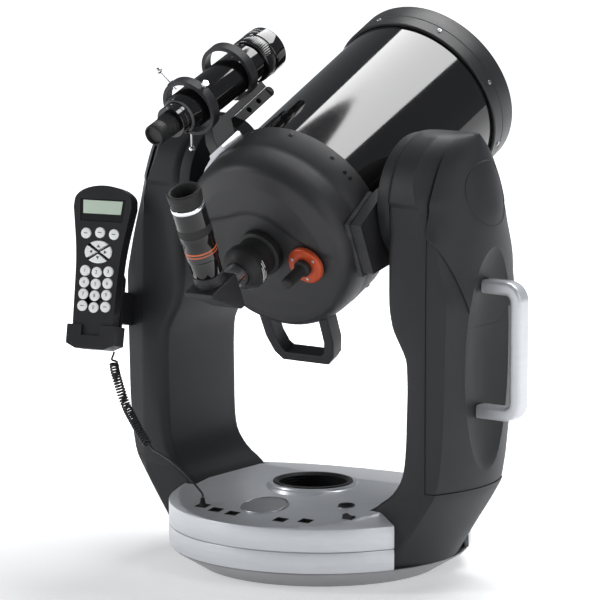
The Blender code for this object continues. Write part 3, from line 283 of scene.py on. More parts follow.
def place(name, bm, mat, body, at=WORLD, nodes=(), bevel=0.0, sharp=38.0, slot=None):
    """Object from a mesh, put in the row frame, riding on a CAD body; its slot argument is not
    used.
    """
    slot = slot or mat
    mesh = bpy.data.meshes.new(name)
    bm.transform(at)
    bm.to_mesh(mesh)
    bm.free()
    mesh.shade_smooth()
    mesh.set_sharp_from_angle(angle=math.radians(sharp))
    mesh.materials.append(MATS[mat])
    obj = bpy.data.objects.new(name, mesh)
    bpy.context.scene.collection.objects.link(obj)
    if bevel:
        soften(obj, bevel)
    if nodes:
        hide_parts(*nodes)
    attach(obj, body)
    return obj


def soften(obj, width):
    """Rounded edges with even shading, where faces meet at more than a slight angle."""
    bevel = obj.modifiers.new("bevel", "BEVEL")
    bevel.width = width
    bevel.segments = 2
    bevel.limit_method = "ANGLE"
    bevel.angle_limit = math.radians(34.0)
    bevel.harden_normals = False
    weighted = obj.modifiers.new("normals", "WEIGHTED_NORMAL")
    weighted.keep_sharp = False
    weighted.weight = 60


def cylinder(radius, low, high, steps=32):
    return turned([(0.0, low), (radius, low), (radius, high), (0.0, high)], steps)


def interpolate(table, z):
    for (z0, v0), (z1, v1) in zip(table, table[1:]):
        if z <= z1:
            t = (z - z0) / (z1 - z0)
            return v0 + (v1 - v0) * min(1.0, max(0.0, t))
    return table[-1][1]


# ---- cord --------------------------------------------------------------------------------
COIL_ROUTE = [(-0.2201, -0.1367, 0.2626), (-0.2196, -0.1378, 0.2480), (-0.2205, -0.1310, 0.2285),
    (-0.2124, -0.1250, 0.1961), (-0.1927, -0.1320, 0.1764), (-0.1715, -0.1380, 0.1567),
    (-0.1540, -0.1415, 0.1450)]
LEAD_ROUTE = [(-0.1532, -0.1417, 0.1444), (-0.1376, -0.1440, 0.1405), (-0.1166, -0.1470, 0.1322),
    (-0.0960, -0.1485, 0.1200), (-0.0815, -0.1478, 0.1080), (-0.0743, -0.1466, 0.1000),
    (-0.0740, -0.1465, 0.0959)]
CORD_R = 0.0013
HELIX_R = 0.0051
PITCH = 0.0038                         # from turn to turn
UNWIND = 0.018                         # stretch over which the coil opens out at each end
CORD_STEP = 0.0009


def smooth_route(points, steps):
    """Catmull-Rom curve through the route's own points."""
    points = [Vector(p) for p in points]
    ends = [points[0] * 2 - points[1]] + points + [points[-1] * 2 - points[-2]]
    route = []
    for a, b, c, d in zip(ends, ends[1:], ends[2:], ends[3:]):
        for i in range(steps):
            t = i / steps
            route.append(0.5 * ((2 * b) + (c - a) * t + (2 * a - 5 * b + 4 * c - d) * t * t
                + (3 * b - a - 3 * c + d) * t ** 3))
    return route + [points[-1]]


def resample(route, step):
    """The same line with points an even step apart."""
    out, left = [route[0]], step
    for a, b in zip(route, route[1:]):
        length = (b - a).length
        while length >= left > 0:
            a = a + (b - a).normalized() * left
            out.append(a)
            length -= left
            left = step
        left -= length
    return out


def helix_cord():
    """The curly stretch as a helix round its route, unwinding at both ends, then the plain lead."""
    per_turn = 18
    spine = resample(smooth_route(COIL_ROUTE, 12), PITCH / per_turn)
    unwind = int(UNWIND / (PITCH / per_turn))
    normal = (spine[1] - spine[0]).orthogonal().normalized()
    turn = 0.0
    points = []
    for i, centre in enumerate(spine):
        ahead = spine[min(i + 1, len(spine) - 1)] - spine[max(i - 1, 0)]
        ahead.normalize()
        normal = (normal - ahead * normal.dot(ahead)).normalized()
        side = ahead.cross(normal)
        fade = min(1.0, i / unwind, (len(spine) - 1 - i) / unwind)
        eased_in = fade * fade * (3.0 - 2.0 * fade)
        turn += 2 * math.pi / per_turn * eased_in ** 3
        reach = HELIX_R * eased_in
        points.append(centre + (normal * math.cos(turn) + side * math.sin(turn)) * reach)
    return relax(points + smooth_route(LEAD_ROUTE, 8)[1:])


def relax(points):
    """Even points along the line, each eased towards its neighbours three times."""
    points = resample(points, CORD_STEP)
    for _ in range(3):
        points = [points[0]] + [(a + 2 * b + c) / 4 for a, b,
            c in zip(points, points[1:], points[2:])] + [points[-1]]
    return points


def build_cord():
    points = helix_cord()
    curve = bpy.data.curves.new("hand_control_cord", "CURVE")
    curve.dimensions = "3D"
    curve.bevel_depth = CORD_R
    curve.bevel_resolution = 3
    curve.use_fill_caps = True
    spline = curve.splines.new("POLY")
    spline.points.add(len(points) - 1)
    for point, at in zip(spline.points, points):
        point.co = (*at, 1.0)
    spline.use_smooth = True
    curve.materials.append(MATS["cord_jacket"])
    cord = bpy.data.objects.new("hand_control_cord", curve)
    bpy.context.scene.collection.objects.link(cord)
    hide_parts("cord_coil", "cord_lead")
    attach(cord, "fork")
    plug = build_plug()


def build_plug():
    """Modular plug body with its ribbed strain relief, in the first socket."""
    relief_z, rib_pitch = 0.0885, 0.0016

    def ribs(r, z, a):
        wave = math.sin((z - relief_z) * 2 * math.pi / rib_pitch) if z > relief_z else 0.0
        return r * (1.0 + 0.10 * wave)

    relief = [(0.0036, relief_z + 0.0004 * i) for i in range(16)]
    relief = [(r - 0.0011 * i / 15, z) for i, (r, z) in enumerate(relief)]
    profile = [(0.0, 0.0774), (0.0046, 0.0774), (0.0048, 0.0778), (0.0048, 0.0870),
        (0.0044, 0.0878)]
    profile += relief + [(0.0024, 0.0953), (0.0, 0.0955)]
    return place("cord_plug_shell", turned(profile, 36, ribs), "black_rubber", "fork",
        move(-0.074, -0.1465, 0.0), ["cord_plug"], slot="cord_jacket")


build_cord()


# ---- optical tube ------------------------------------------------------------------------
TUBE_R = 0.1135
FRONT_CELL_R = 0.118
REAR_CELL_R = 0.1213


def screw_head(radius, height):
    """Domed machine screw with a hexagon recess, standing on Z = 0."""
    return turned([(0.0, -0.0006), (radius, -0.0006), (radius, height * 0.35),
        (radius * 0.86, height * 0.8), (radius * 0.55, height), (radius * 0.45, height),
        (radius * 0.42, height * 0.25), (0.0, height * 0.25)], 24)


def radial(angle, radius, s):
    """Frame on the tube's skin at an angle from X towards Z; its own Z looks outwards."""
    a = math.radians(angle)
    return (move(radius * math.cos(a), s, radius * math.sin(a))
        @ Matrix.Rotation(math.radians(90) - a, 4, "Y"))


def build_tube():
    place("tube_skin", turned([(TUBE_R - 0.0020, -0.0580), (TUBE_R, -0.0580), (TUBE_R, 0.2420),
        (TUBE_R - 0.0020, 0.2420)], 180), "tube_enamel", "tube", TUBE_FRAME @ TURNED,
        ["optical_tube"])
    seat = 0.2467
    place("front_cell_shell", turned([(TUBE_R + 0.0003, 0.2275), (TUBE_R + 0.0008, 0.2270),
        (FRONT_CELL_R - 0.0012, 0.2270), (FRONT_CELL_R, 0.2282), (FRONT_CELL_R, 0.2450),
        (FRONT_CELL_R - 0.0005, 0.2454), (FRONT_CELL_R - 0.0005, 0.2462), (FRONT_CELL_R, 0.2466),
        (FRONT_CELL_R, 0.2700), (FRONT_CELL_R - 0.0006, 0.2714), (FRONT_CELL_R - 0.0018, 0.2720),
        (TUBE_R + 0.0012, 0.2720), (TUBE_R + 0.0004, 0.2712), (TUBE_R - 0.001, seat),
        (0.1035, seat), (0.1035, 0.2425), (TUBE_R + 0.0003, 0.2425)], 180), "cell_paint", "tube",
        TUBE_FRAME @ TURNED, ["front_cell"])
    screws = [(screw_head(0.0030, 0.0017), radial(a, FRONT_CELL_R, 0.2400))
        for a in range(16, 376, 45)]
    place("front_cell_screws", together(screws), "steel", "tube", TUBE_FRAME)
    place("retaining_ring_shell", turned([(0.1040, 0.2515), (TUBE_R - 0.0015, 0.2515),
        (TUBE_R - 0.0015, 0.2552), (TUBE_R - 0.0022, 0.2560), (0.1052, 0.2560), (0.1040, 0.2548)],
        160), "cell_paint", "tube", TUBE_FRAME @ TURNED, ["retaining_ring"])
    rivets = []
    for i in range(12):
        a = 2 * math.pi * i / 12 + 0.2
        rivets.append((screw_head(0.0022, 0.0011), Matrix.Translation((0.1085 * math.cos(a), 0.2562,
            0.1085 * math.sin(a))) @ spin(-90, "X")))
    place("retaining_screws", together(rivets), "steel", "tube", TUBE_FRAME)
    place("secondary_cover", turned([(0.0, 0.2060), (0.0285, 0.2060), (0.0290, 0.2065),
        (0.0290, 0.2515), (0.0378, 0.2515), (0.0385, 0.2522), (0.0385, 0.2605), (0.0380, 0.2618),
        (0.0368, 0.2628), (0.0350, 0.2640), (0.0330, 0.2640), (0.0322, 0.2634), (0.0315, 0.2640),
        (0.0, 0.2640)], 96), "black_rubber", "tube", TUBE_FRAME @ TURNED, ["secondary_holder"])


def build_rear_cell():
    """The cell's outer shell, turned fine, with the pads of the trunnions and a sculpted back."""
    steps = 180
    face = [(0.0450, -0.1355), (0.0620, -0.1347), (0.0800, -0.1335), (0.0980, -0.1318),
        (0.1070, -0.1303)]
    rings = 34
    back = [0.1070 + (0.0450 - 0.1070) * i / rings for i in range(rings + 1)]
    profile = [(0.1140, -0.0440), (REAR_CELL_R - 0.0010, -0.0440), (REAR_CELL_R, -0.0450),
        (REAR_CELL_R, -0.0835), (REAR_CELL_R - 0.0004, -0.0842), (0.1206, -0.0930),
        (0.1197, -0.1050), (0.1184, -0.1130), (0.1162, -0.1195), (0.1138, -0.1245),
        (0.1102, -0.1286)]
    profile += [(r, interpolate(face, r)) for r in back]
    profile += [(0.0300, -0.1355), (0.0255, -0.1355), (0.0255, -0.1303), (0.0800, -0.1283),
        (0.1050, -0.1245), (0.1140, -0.1000)]
    shell = turned(profile, steps)
    for vert in shell.verts:
        r = math.hypot(vert.co.x, vert.co.y)
        if vert.co.z < -0.1300 and r > 0.047:
            # The cell's own Z is the tube's Y, so the tube's height runs along -Y here.
            x, up = vert.co.x, -vert.co.y
            line = 0.040 + 0.010 * math.cos(x * 28.0) - 0.32 * max(x, 0.0)
            away = (up - line) / 0.0032
            fade = min(1.0, (r - 0.047) / 0.012, max(0.0, (0.106 - r) / 0.016))
            vert.co.z -= 0.0044 * fade / (1.0 + math.exp(-2.2 * away)) - 0.0006 * fade
    for side in (-1, 1):
        pad = [(-0.112, -0.040), (-0.052, -0.052), (-0.052, 0.045), (-0.112, 0.034)]
        low, high = sorted((side * 0.1165, side * 0.1224))
        pad_block = slab([(-n, s) for s, n in pad], "X", low, high)
        shell = together([(shell, WORLD), (pad_block, WORLD)])
    place("rear_cell_shell", shell, "cell_paint", "tube", TUBE_FRAME @ TURNED, ["rear_cell"],
        sharp=30.0)
    angles = (136, 107, 78, 49, 20, -22, -49, -78, -107, -136, -164, 165)
    screws = [(screw_head(0.0030, 0.0014), radial(a, REAR_CELL_R, -0.0560)) for a in angles]
    place("rear_cell_screws", together(screws), "black_plastic", "tube", TUBE_FRAME)
    pairs = []
    for a in (38.0, 33.5):
        pairs.append((screw_head(0.0026, 0.0016), radial(a, REAR_CELL_R, -0.0600)))
    place("trunnion_screws", together(pairs), "dark", "tube", TUBE_FRAME, slot="black_plastic")


def build_focuser():
    plate = Matrix.Translation(FOCUS)
    place("focuser_disc", turned([(0.0055, -0.1425), (0.0120, -0.1425), (0.0124, -0.1418),
        (0.0130, -0.1418), (0.0134, -0.1425), (0.0215, -0.1425), (0.0232, -0.1418),
        (0.0240, -0.1405), (0.0240, -0.1362), (0.0055, -0.1362)], 96), "orange_anodised", "tube",
        TUBE_FRAME @ plate @ TURNED, ["focuser_plate"])
    screws = []
    for degrees in (30, 150, 270):
        a = math.radians(degrees)
        screws.append((screw_head(0.0021, 0.0012), Matrix.Translation((0.0178 * math.cos(a),
            -0.1424, 0.0178 * math.sin(a))) @ spin(90, "X")))
    place("focuser_screws", together(screws), "steel", "tube", TUBE_FRAME @ plate)

    ribs = ridged(0.035, 24, lambda r, z: r > 0.0068 and -0.1825 < z < -0.1500)
    place("focus_grip", turned([(0.0, -0.1840), (0.0050, -0.1840), (0.0060, -0.1836),
        (0.0070, -0.1826), (0.0075, -0.1810), (0.0076, -0.1790), (0.0076, -0.1520),
        (0.0080, -0.1508), (0.0096, -0.1498), (0.0108, -0.1488), (0.0110, -0.1475),
        (0.0110, -0.1434), (0.0105, -0.1428), (0.0042, -0.1428), (0.0042, -0.1100), (0.0, -0.1100)],
        96, ribs), "black_rubber", "focuser", TUBE_FRAME @ plate @ TURNED, ["focus_knob"])


def arc_mark(radius, start, end, low, high, lift=0.0004):
    """Thin printed band on a cylinder about Y, between two angles and two stations."""
    steps = max(3, int(abs(end - start) / 4))
    rings = []
    for i in range(steps + 1):
        a = math.radians(start + (end - start) * i / steps)
        c, s = math.cos(a), math.sin(a)
        rings.append([(r * c, y, r * s) for r, y in ((radius - 0.0002, low), (radius + lift, low),
            (radius + lift, high), (radius - 0.0002, high))])
    return loft(rings)


def build_visual_back():
    grip = ridged(0.022, 48, lambda r, z: r > 0.0285 and z > -0.150)
    place("visual_back_shell", turned([(0.0163, -0.1315), (0.0163, -0.1920), (0.0200, -0.1920),
        (0.0206, -0.1917), (0.0282, -0.1812), (0.0286, -0.1800), (0.0290, -0.1700),
        (0.0288, -0.1692), (0.0280, -0.1684), (0.0256, -0.1665), (0.0256, -0.1475),
        (0.0288, -0.1465), (0.0300, -0.1455), (0.0300, -0.1368), (0.0292, -0.1360),
        (0.0250, -0.1360), (0.0250, -0.1315)], 144, grip), "black_rubber", "tube", TUBE_FRAME
        @ TURNED, ["visual_back"])
    marks = []
    scales = ((-28, 8, -0.1790), (-40, 18, -0.1762), (-30, -6, -0.1735), (2, 22, -0.1735))
    for start, end, low in scales:
        marks.append((arc_mark(0.0287, start, end, low, low + 0.0010), WORLD))
    place("visual_back_scale", together(marks), "print_white", "tube", TUBE_FRAME,
        slot="key_silicone")
    profile = [(0.0, 0.0165), (0.0019, 0.0165), (0.0019, 0.0300), (0.0030, 0.0305),
        (0.0052, 0.0318), (0.0055, 0.0324), (0.0055, 0.0396), (0.0050, 0.0405), (0.0040, 0.0410),
        (0.0, 0.0410)]
    knurl = ridged(0.06, 20, lambda r, z: r > 0.005)
    place("back_screw_shell", turned(profile, 80, knurl), "bright_steel", "back_screw", TUBE_FRAME
        @ move(0.0, -0.1570, 0.0) @ spin(-90, "Y"), ["back_thumbscrew"])


def build_eyepiece():
    at = TUBE_FRAME @ move(0.0, DIAGONAL_S, 0.0)
    parts = [("eyepiece_barrel", "tube_enamel", [(0.0, 0.0120), (0.0157, 0.0120), (0.0157, 0.0343),
        (0.0180, 0.0343), (0.0185, 0.0350), (0.0185, 0.0556), (0.0198, 0.0572), (0.0198, 0.0640),
        (0.0, 0.0640)]), ("eyepiece_body", "gloss_black", [(0.0, 0.0703), (0.0198, 0.0703),
        (0.0198, 0.0800), (0.0205, 0.0815), (0.0205, 0.0905), (0.0, 0.0905)]), ("eyepiece_top",
        "gloss_black", [(0.0, 0.1012), (0.0205, 0.1012), (0.0205, 0.1238), (0.0, 0.1238)]),
        ("eyepiece_chrome_ring", "bright_steel", [(0.0, 0.1240), (0.0208, 0.1240), (0.0212, 0.1250),
        (0.0212, 0.1284), (0.0206, 0.1292), (0.0, 0.1292)]),]
    main = None
    for name, mat, profile in parts:
        obj = place(name, turned(profile, 96), mat, "eyepiece", at, ["eyepiece"] if main is None
            else (), slot="tube_enamel")
        main = main or obj
    ribs = ridged(0.018, 60, lambda r, z: r > 0.0204)
    place("eyepiece_grip", turned([(0.0, 0.0907), (0.0206, 0.0907), (0.0208, 0.0912),
        (0.0208, 0.1004), (0.0206, 0.1010), (0.0, 0.1010)], 240, ribs), "black_rubber", "eyepiece",
        at)
    bands = []
    for z, h in ((0.0641, 0.0016), (0.0679, 0.0022)):
        band = turned([(0.0, z), (0.01988, z), (0.01988, z + h), (0.0, z + h)], 96)
        bands.append((band, WORLD))
    place("eyepiece_bands", together(bands), "ring_orange", "eyepiece", at, slot="orange_anodised")
    place("eyepiece_band_gap", turned([(0.0, 0.0657), (0.01975, 0.0657), (0.01975, 0.0679),
        (0.0, 0.0679)], 96), "tube_enamel", "eyepiece", at)

    place("eyecup", turned([(0.0, 0.1293), (0.0196, 0.1293), (0.0200, 0.1300), (0.0202, 0.1330),
        (0.0207, 0.1370), (0.0206, 0.1374), (0.0209, 0.1380), (0.0213, 0.1430), (0.0215, 0.1455),
        (0.0212, 0.1474), (0.0203, 0.1485), (0.0185, 0.1487), (0.0165, 0.1478), (0.0155, 0.1440),
        (0.0146, 0.1370), (0.0143, 0.1350), (0.0, 0.1345)], 96), "black_rubber", "eyepiece", at)
    place("eye_lens", turned([(0.0, 0.1346), (0.0128, 0.1346), (0.0120, 0.1353), (0.0080, 0.1361),
        (0.0, 0.1364)], 48), "mirror_coat", "eyepiece", at)


def build_diagonal():
    """Prism housing with its two sockets."""
    body = slab([(-0.2178, -0.0260), (-0.2178, 0.0200), (-0.2700, 0.0200), (-0.2700, 0.0150),
        (-0.2260, -0.0260)], "X", -0.0215, 0.0215)
    place("diagonal_body", body, "black_plastic", "diagonal", TUBE_FRAME, ["star_diagonal"],
        bevel=0.0014)
    rear = slab([(-0.2290, -0.0225), (-0.2660, 0.0128), (-0.2668, 0.0120), (-0.2298, -0.0233)], "X",
        -0.0180, 0.0180)
    place("diagonal_plate", rear, "cell_paint", "diagonal", TUBE_FRAME, bevel=0.0004)
    nose = turned([(0.0135, -0.1400), (0.0152, -0.1400), (0.0158, -0.1406), (0.0158, -0.2180),
        (0.0135, -0.2180)], 72)
    place("diagonal_nose", nose, "bright_steel", "diagonal", TUBE_FRAME @ TURNED)
    socket = turned([(0.0160, 0.0150), (0.0190, 0.0150), (0.0190, 0.0240), (0.0186, 0.0244),
        (0.0186, 0.0262), (0.0190, 0.0266), (0.0190, 0.0334), (0.0184, 0.0340), (0.0160, 0.0340)],
        72)
    place("diagonal_socket", socket, "black_plastic", "diagonal", TUBE_FRAME
        @ move(0.0, DIAGONAL_S, 0.0))


build_tube()
build_rear_cell()
build_focuser()
build_visual_back()
build_eyepiece()
build_diagonal()


# ---- finder ------------------------------------------------------------------------------
def build_finder():
    place("finder_tube_shell", turned([(0.0110, -0.1060), (0.0200, -0.1060), (0.0205, -0.1055),
        (0.0205, -0.0985), (0.0200, -0.0980), (0.0200, -0.0965), (0.0205, -0.0960),
        (0.0205, -0.0900), (0.0222, -0.0893), (0.0235, -0.0886), (0.0250, -0.0822),
        (0.0255, -0.0805), (0.0255, 0.0595), (0.0250, 0.0600), (0.0240, 0.0600), (0.0240, -0.0800),
        (0.0190, -0.0880), (0.0110, -0.0880)], 96), "tube_enamel", "tube", SCOPE_FRAME @ TURNED,
        ["finder_tube"])
    ribs = ridged(0.03, 36, lambda r, z: 0.0125 < r < 0.0152)
    place("finder_eyepiece_shell", turned([(0.0, -0.0960), (0.0105, -0.0960), (0.0105, -0.1063),
        (0.0142, -0.1063), (0.0150, -0.1070), (0.0150, -0.1144), (0.0144, -0.1152),
        (0.0135, -0.1165), (0.0135, -0.1240), (0.0132, -0.1244), (0.0132, -0.1256),
        (0.0135, -0.1260), (0.0135, -0.1405), (0.0128, -0.1417), (0.0115, -0.1417),
        (0.0104, -0.1390), (0.0100, -0.1380), (0.0, -0.1380)], 144, ribs), "black_rubber", "ocular",
        SCOPE_FRAME @ TURNED, ["finder_eyepiece"])
    grip = ridged(0.020, 64, lambda r, z: r > 0.0296 and z < 0.0765)
    place("finder_objective_shell", turned([(0.0, 0.0603), (0.0275, 0.0603), (0.0285, 0.0606),
        (0.0299, 0.0618), (0.0300, 0.0626), (0.0300, 0.0700), (0.0300, 0.0760), (0.0295, 0.0768),
        (0.0288, 0.0772), (0.0288, 0.0786), (0.0295, 0.0790), (0.0300, 0.0796), (0.0300, 0.0978),
        (0.0296, 0.0990), (0.0290, 0.0997), (0.0270, 0.0997), (0.0262, 0.0990), (0.0255, 0.0785),
        (0.0250, 0.0780), (0.0, 0.0790)], 192, grip), "tube_enamel", "objective", SCOPE_FRAME
        @ TURNED, ["finder_objective"])
    place("finder_lens", turned([(0.0, 0.0792), (0.0249, 0.0792), (0.0246, 0.0800),
        (0.0160, 0.0822), (0.0, 0.0834)], 64), "mirror_coat", "objective", SCOPE_FRAME @ TURNED)
    marks = [(arc_mark(0.0300, 40, 118, 0.0850, 0.0857), WORLD),
        (arc_mark(0.0300, 40, 118, 0.0905, 0.0910), WORLD)]
    place("finder_objective_lines", together(marks), "print_white", "objective", SCOPE_FRAME,
        slot="key_silicone")
    rings = []
    for near, far in ((-0.0690, -0.0550), (0.0180, 0.0320)):
        profile = [(0.0328, near), (0.0372, near), (0.0380, near + 0.0008), (0.0380, far - 0.0008),
            (0.0372, far), (0.0328, far)]
        rings.append((turned(profile, 120), TURNED))
    foot = 0.1291 - 0.1892
    stem = [(-0.0850, foot), (-0.0460, foot), (-0.0350, -0.0450), (0.0460, -0.0445),
        (0.0460, -0.0345), (-0.0550, -0.0345), (-0.0700, -0.0370), (-0.0800, -0.0480)]
    place("finder_bracket_stem", slab(stem, "X", -0.0090, 0.0090), "black_plastic", "tube",
        FINDER_FRAME, ["finder_bracket"], bevel=0.0008, slot="cell_paint")
    place("finder_bracket_rings", together(rings), "black_plastic", "tube", FINDER_FRAME,
        slot="cell_paint")
    bosses = []
    for x, z in SCREW_WAYS:
        turn = (move(0.0, -0.0620, 0.0) @ Matrix.Rotation(math.atan2(x, z), 4, "Y"))
        if (x, z) != SCREW_WAYS[2]:
            bosses.append((turned([(0.0022, 0.0372), (0.0050, 0.0372), (0.0046, 0.0392),
                (0.0022, 0.0392)], 32), turn))
    place("finder_screw_bosses", together(bosses), "black_plastic", "tube", FINDER_FRAME,
        slot="cell_paint")


def build_finder_screws():
    knurl = ridged(0.07, 18, lambda r, z: r > 0.0045)
    heads = (("finder_screw_top", "top_screw", 0.0580), ("finder_screw_left", "side_screw", 0.0640),
        ("finder_plunger", "plunger", 0.0480))
    for (node, body, head), (x, z) in zip(heads, SCREW_WAYS):
        stem = [(0.0, 0.0270), (0.0018, 0.0270), (0.0018, 0.0425)]
        if node != "finder_plunger":
            stem += [(0.0014, 0.0430), (0.0014, head - 0.0046)]
            stem += [(0.0040 * math.cos(t), head + 0.0010 + 0.0040 * math.sin(t))
                for t in [math.radians(-70 + 20 * i) for i in range(8)]]
            stem += [(0.0, head + 0.0050)]
        else:
            stem += [(0.0046, 0.0430), (0.0048, 0.0435), (0.0048, head - 0.0004),
                (0.0044, head + 0.0002), (0.0038, head + 0.0010), (0.0, head + 0.0010)]
        at = FINDER_FRAME @ move(0.0, -0.0620, 0.0) @ Matrix.Rotation(math.atan2(x, z), 4, "Y")
        place(node + "_shell", turned(stem, 72, knurl), "bright_steel", body, at, [node])
    place("clamp_knob_shell", turned([(0.0, 0.0), (0.0030, 0.0), (0.0030, 0.0050), (0.0060, 0.0056),
        (0.0068, 0.0064), (0.0068, 0.0126), (0.0060, 0.0138), (0.0, 0.0140)], 72,
        ridged(0.08, 12, lambda r, z: r > 0.0058)), "black_rubber", "bracket_knob", FINDER_FRAME
        @ move(0.0, 0.0403, -0.0515) @ TURNED, ["clamp_knob"])


build_finder()
build_finder_screws()


# ---- Booleans ----------------------------------------------------------------------------
def carve(bm, tools, operation="DIFFERENCE"):
    """The mesh after exact Booleans with each tool mesh."""
    def as_object(name, shape):
        mesh = bpy.data.meshes.new(name)
        shape.to_mesh(mesh)
        shape.free()
        obj = bpy.data.objects.new(name, mesh)
        bpy.context.scene.collection.objects.link(obj)
        return obj

    work = as_object("work", bm)
    made = [work]
    for tool in tools:
        cutter = as_object("cutter", tool)
        made.append(cutter)
        modifier = work.modifiers.new("cut", "BOOLEAN")
        modifier.operation = operation
        modifier.solver = "EXACT"
        modifier.object = cutter
    bpy.context.view_layer.update()
    result = bmesh.new()
    result.from_object(work, bpy.context.evaluated_depsgraph_get())
    for obj in made:
        bpy.data.objects.remove(obj)
    return result


def block(low, high):
    return slab([(low[0], low[1]), (high[0], low[1]), (high[0], high[1]), (low[0], high[1])], "Z",
        low[2], high[2])


def arc(centre, radius, start, end, steps):
    return [(centre[0] + radius * math.cos(math.radians(start + (end - start) * i / steps)),
        centre[1] + radius * math.sin(math.radians(start + (end - start) * i / steps)))
        for i in range(steps + 1)]


# ---- base --------------------------------------------------------------------------------
BASE_R = 0.190
PAN_TOP = 0.0240
BAND_TOP = 0.0507
RIM_Z = 0.0800
PLATEAU_Z = 0.0995
COLLAR_Z = 0.1035
COLLAR_R = 0.0556
WELL_R = 0.0502
WELL_Y = -0.0150
PANEL_SLOPE = 0.14
PANEL_EDGE_Y = 0.188
GAP = 0.0003
FOOT_X = 0.134
FOOT_LOW_X = 0.1500
NOTCH_HALF_W = 0.0836
NOTCH_REAR = 0.0756
PORTS = [(-0.074, -0.1465), (-0.0485, -0.1530), (-0.0210, -0.1560), (0.0500, -0.1530),
    (0.0820, -0.1450)]
INLET = (0.0970, -0.0800)
SWITCH = (0.1250, -0.1155)


def cover_height(x, y):
    """Collar, plateau, two sloping panels and a falling rim, as in the CAD."""
    from_well = math.hypot(x, y - WELL_Y)
    if from_well < COLLAR_R + 0.0002:
        return COLLAR_Z
    panel = RIM_Z - 0.0005 + PANEL_SLOPE * (PANEL_EDGE_Y - abs(y))
    rim = RIM_Z + 0.8 * (BASE_R - 0.0006 - math.hypot(x, y))
    plateau = PLATEAU_Z - 0.003 * (from_well - COLLAR_R) / BASE_R
    return min(plateau, panel, rim)


def cover_section(angle):
    c, s = math.cos(angle), math.sin(angle)

    def at(r, z):
        shift = WELL_Y * min(1.0, (BASE_R - r) / (BASE_R - 0.0700))
        return (r * c, r * s + shift, z)

    def top(r, drop=0.0):
        x, y, _ = at(r, 0.0)
        return (x, y, cover_height(x, y) - drop)

    wall = BASE_R - 0.0048
    outer = [at(BASE_R - 0.0012, BAND_TOP + GAP), at(BASE_R - 0.0003, BAND_TOP + GAP + 0.0005),
        at(BASE_R, BAND_TOP + GAP + 0.0014), at(BASE_R, RIM_Z - 0.0016),
        at(BASE_R - 0.0003, RIM_Z - 0.0008), at(BASE_R - 0.0009, RIM_Z - 0.0002)]
    radii = [BASE_R - 0.0016 - (BASE_R - 0.0636) * i / 34 for i in range(35)]
    surface_points = [top(r) for r in radii]
    collar = [at(0.0592, cover_height(*at(0.0592, 0.0)[:2])),
        at(COLLAR_R + 0.0018, PLATEAU_Z + 0.0002), at(COLLAR_R + 0.0005, PLATEAU_Z + 0.0014),
        at(COLLAR_R, COLLAR_Z - 0.0010), at(COLLAR_R - 0.0006, COLLAR_Z - 0.0002),
        at(COLLAR_R - 0.0014, COLLAR_Z), at(WELL_R + GAP, COLLAR_Z), at(WELL_R + GAP, 0.0915)]
    under = [top(0.1200, 0.0045), top(0.1740, 0.0045), at(wall, 0.0740), at(wall, BAND_TOP + GAP)]
    return outer + surface_points + collar + under


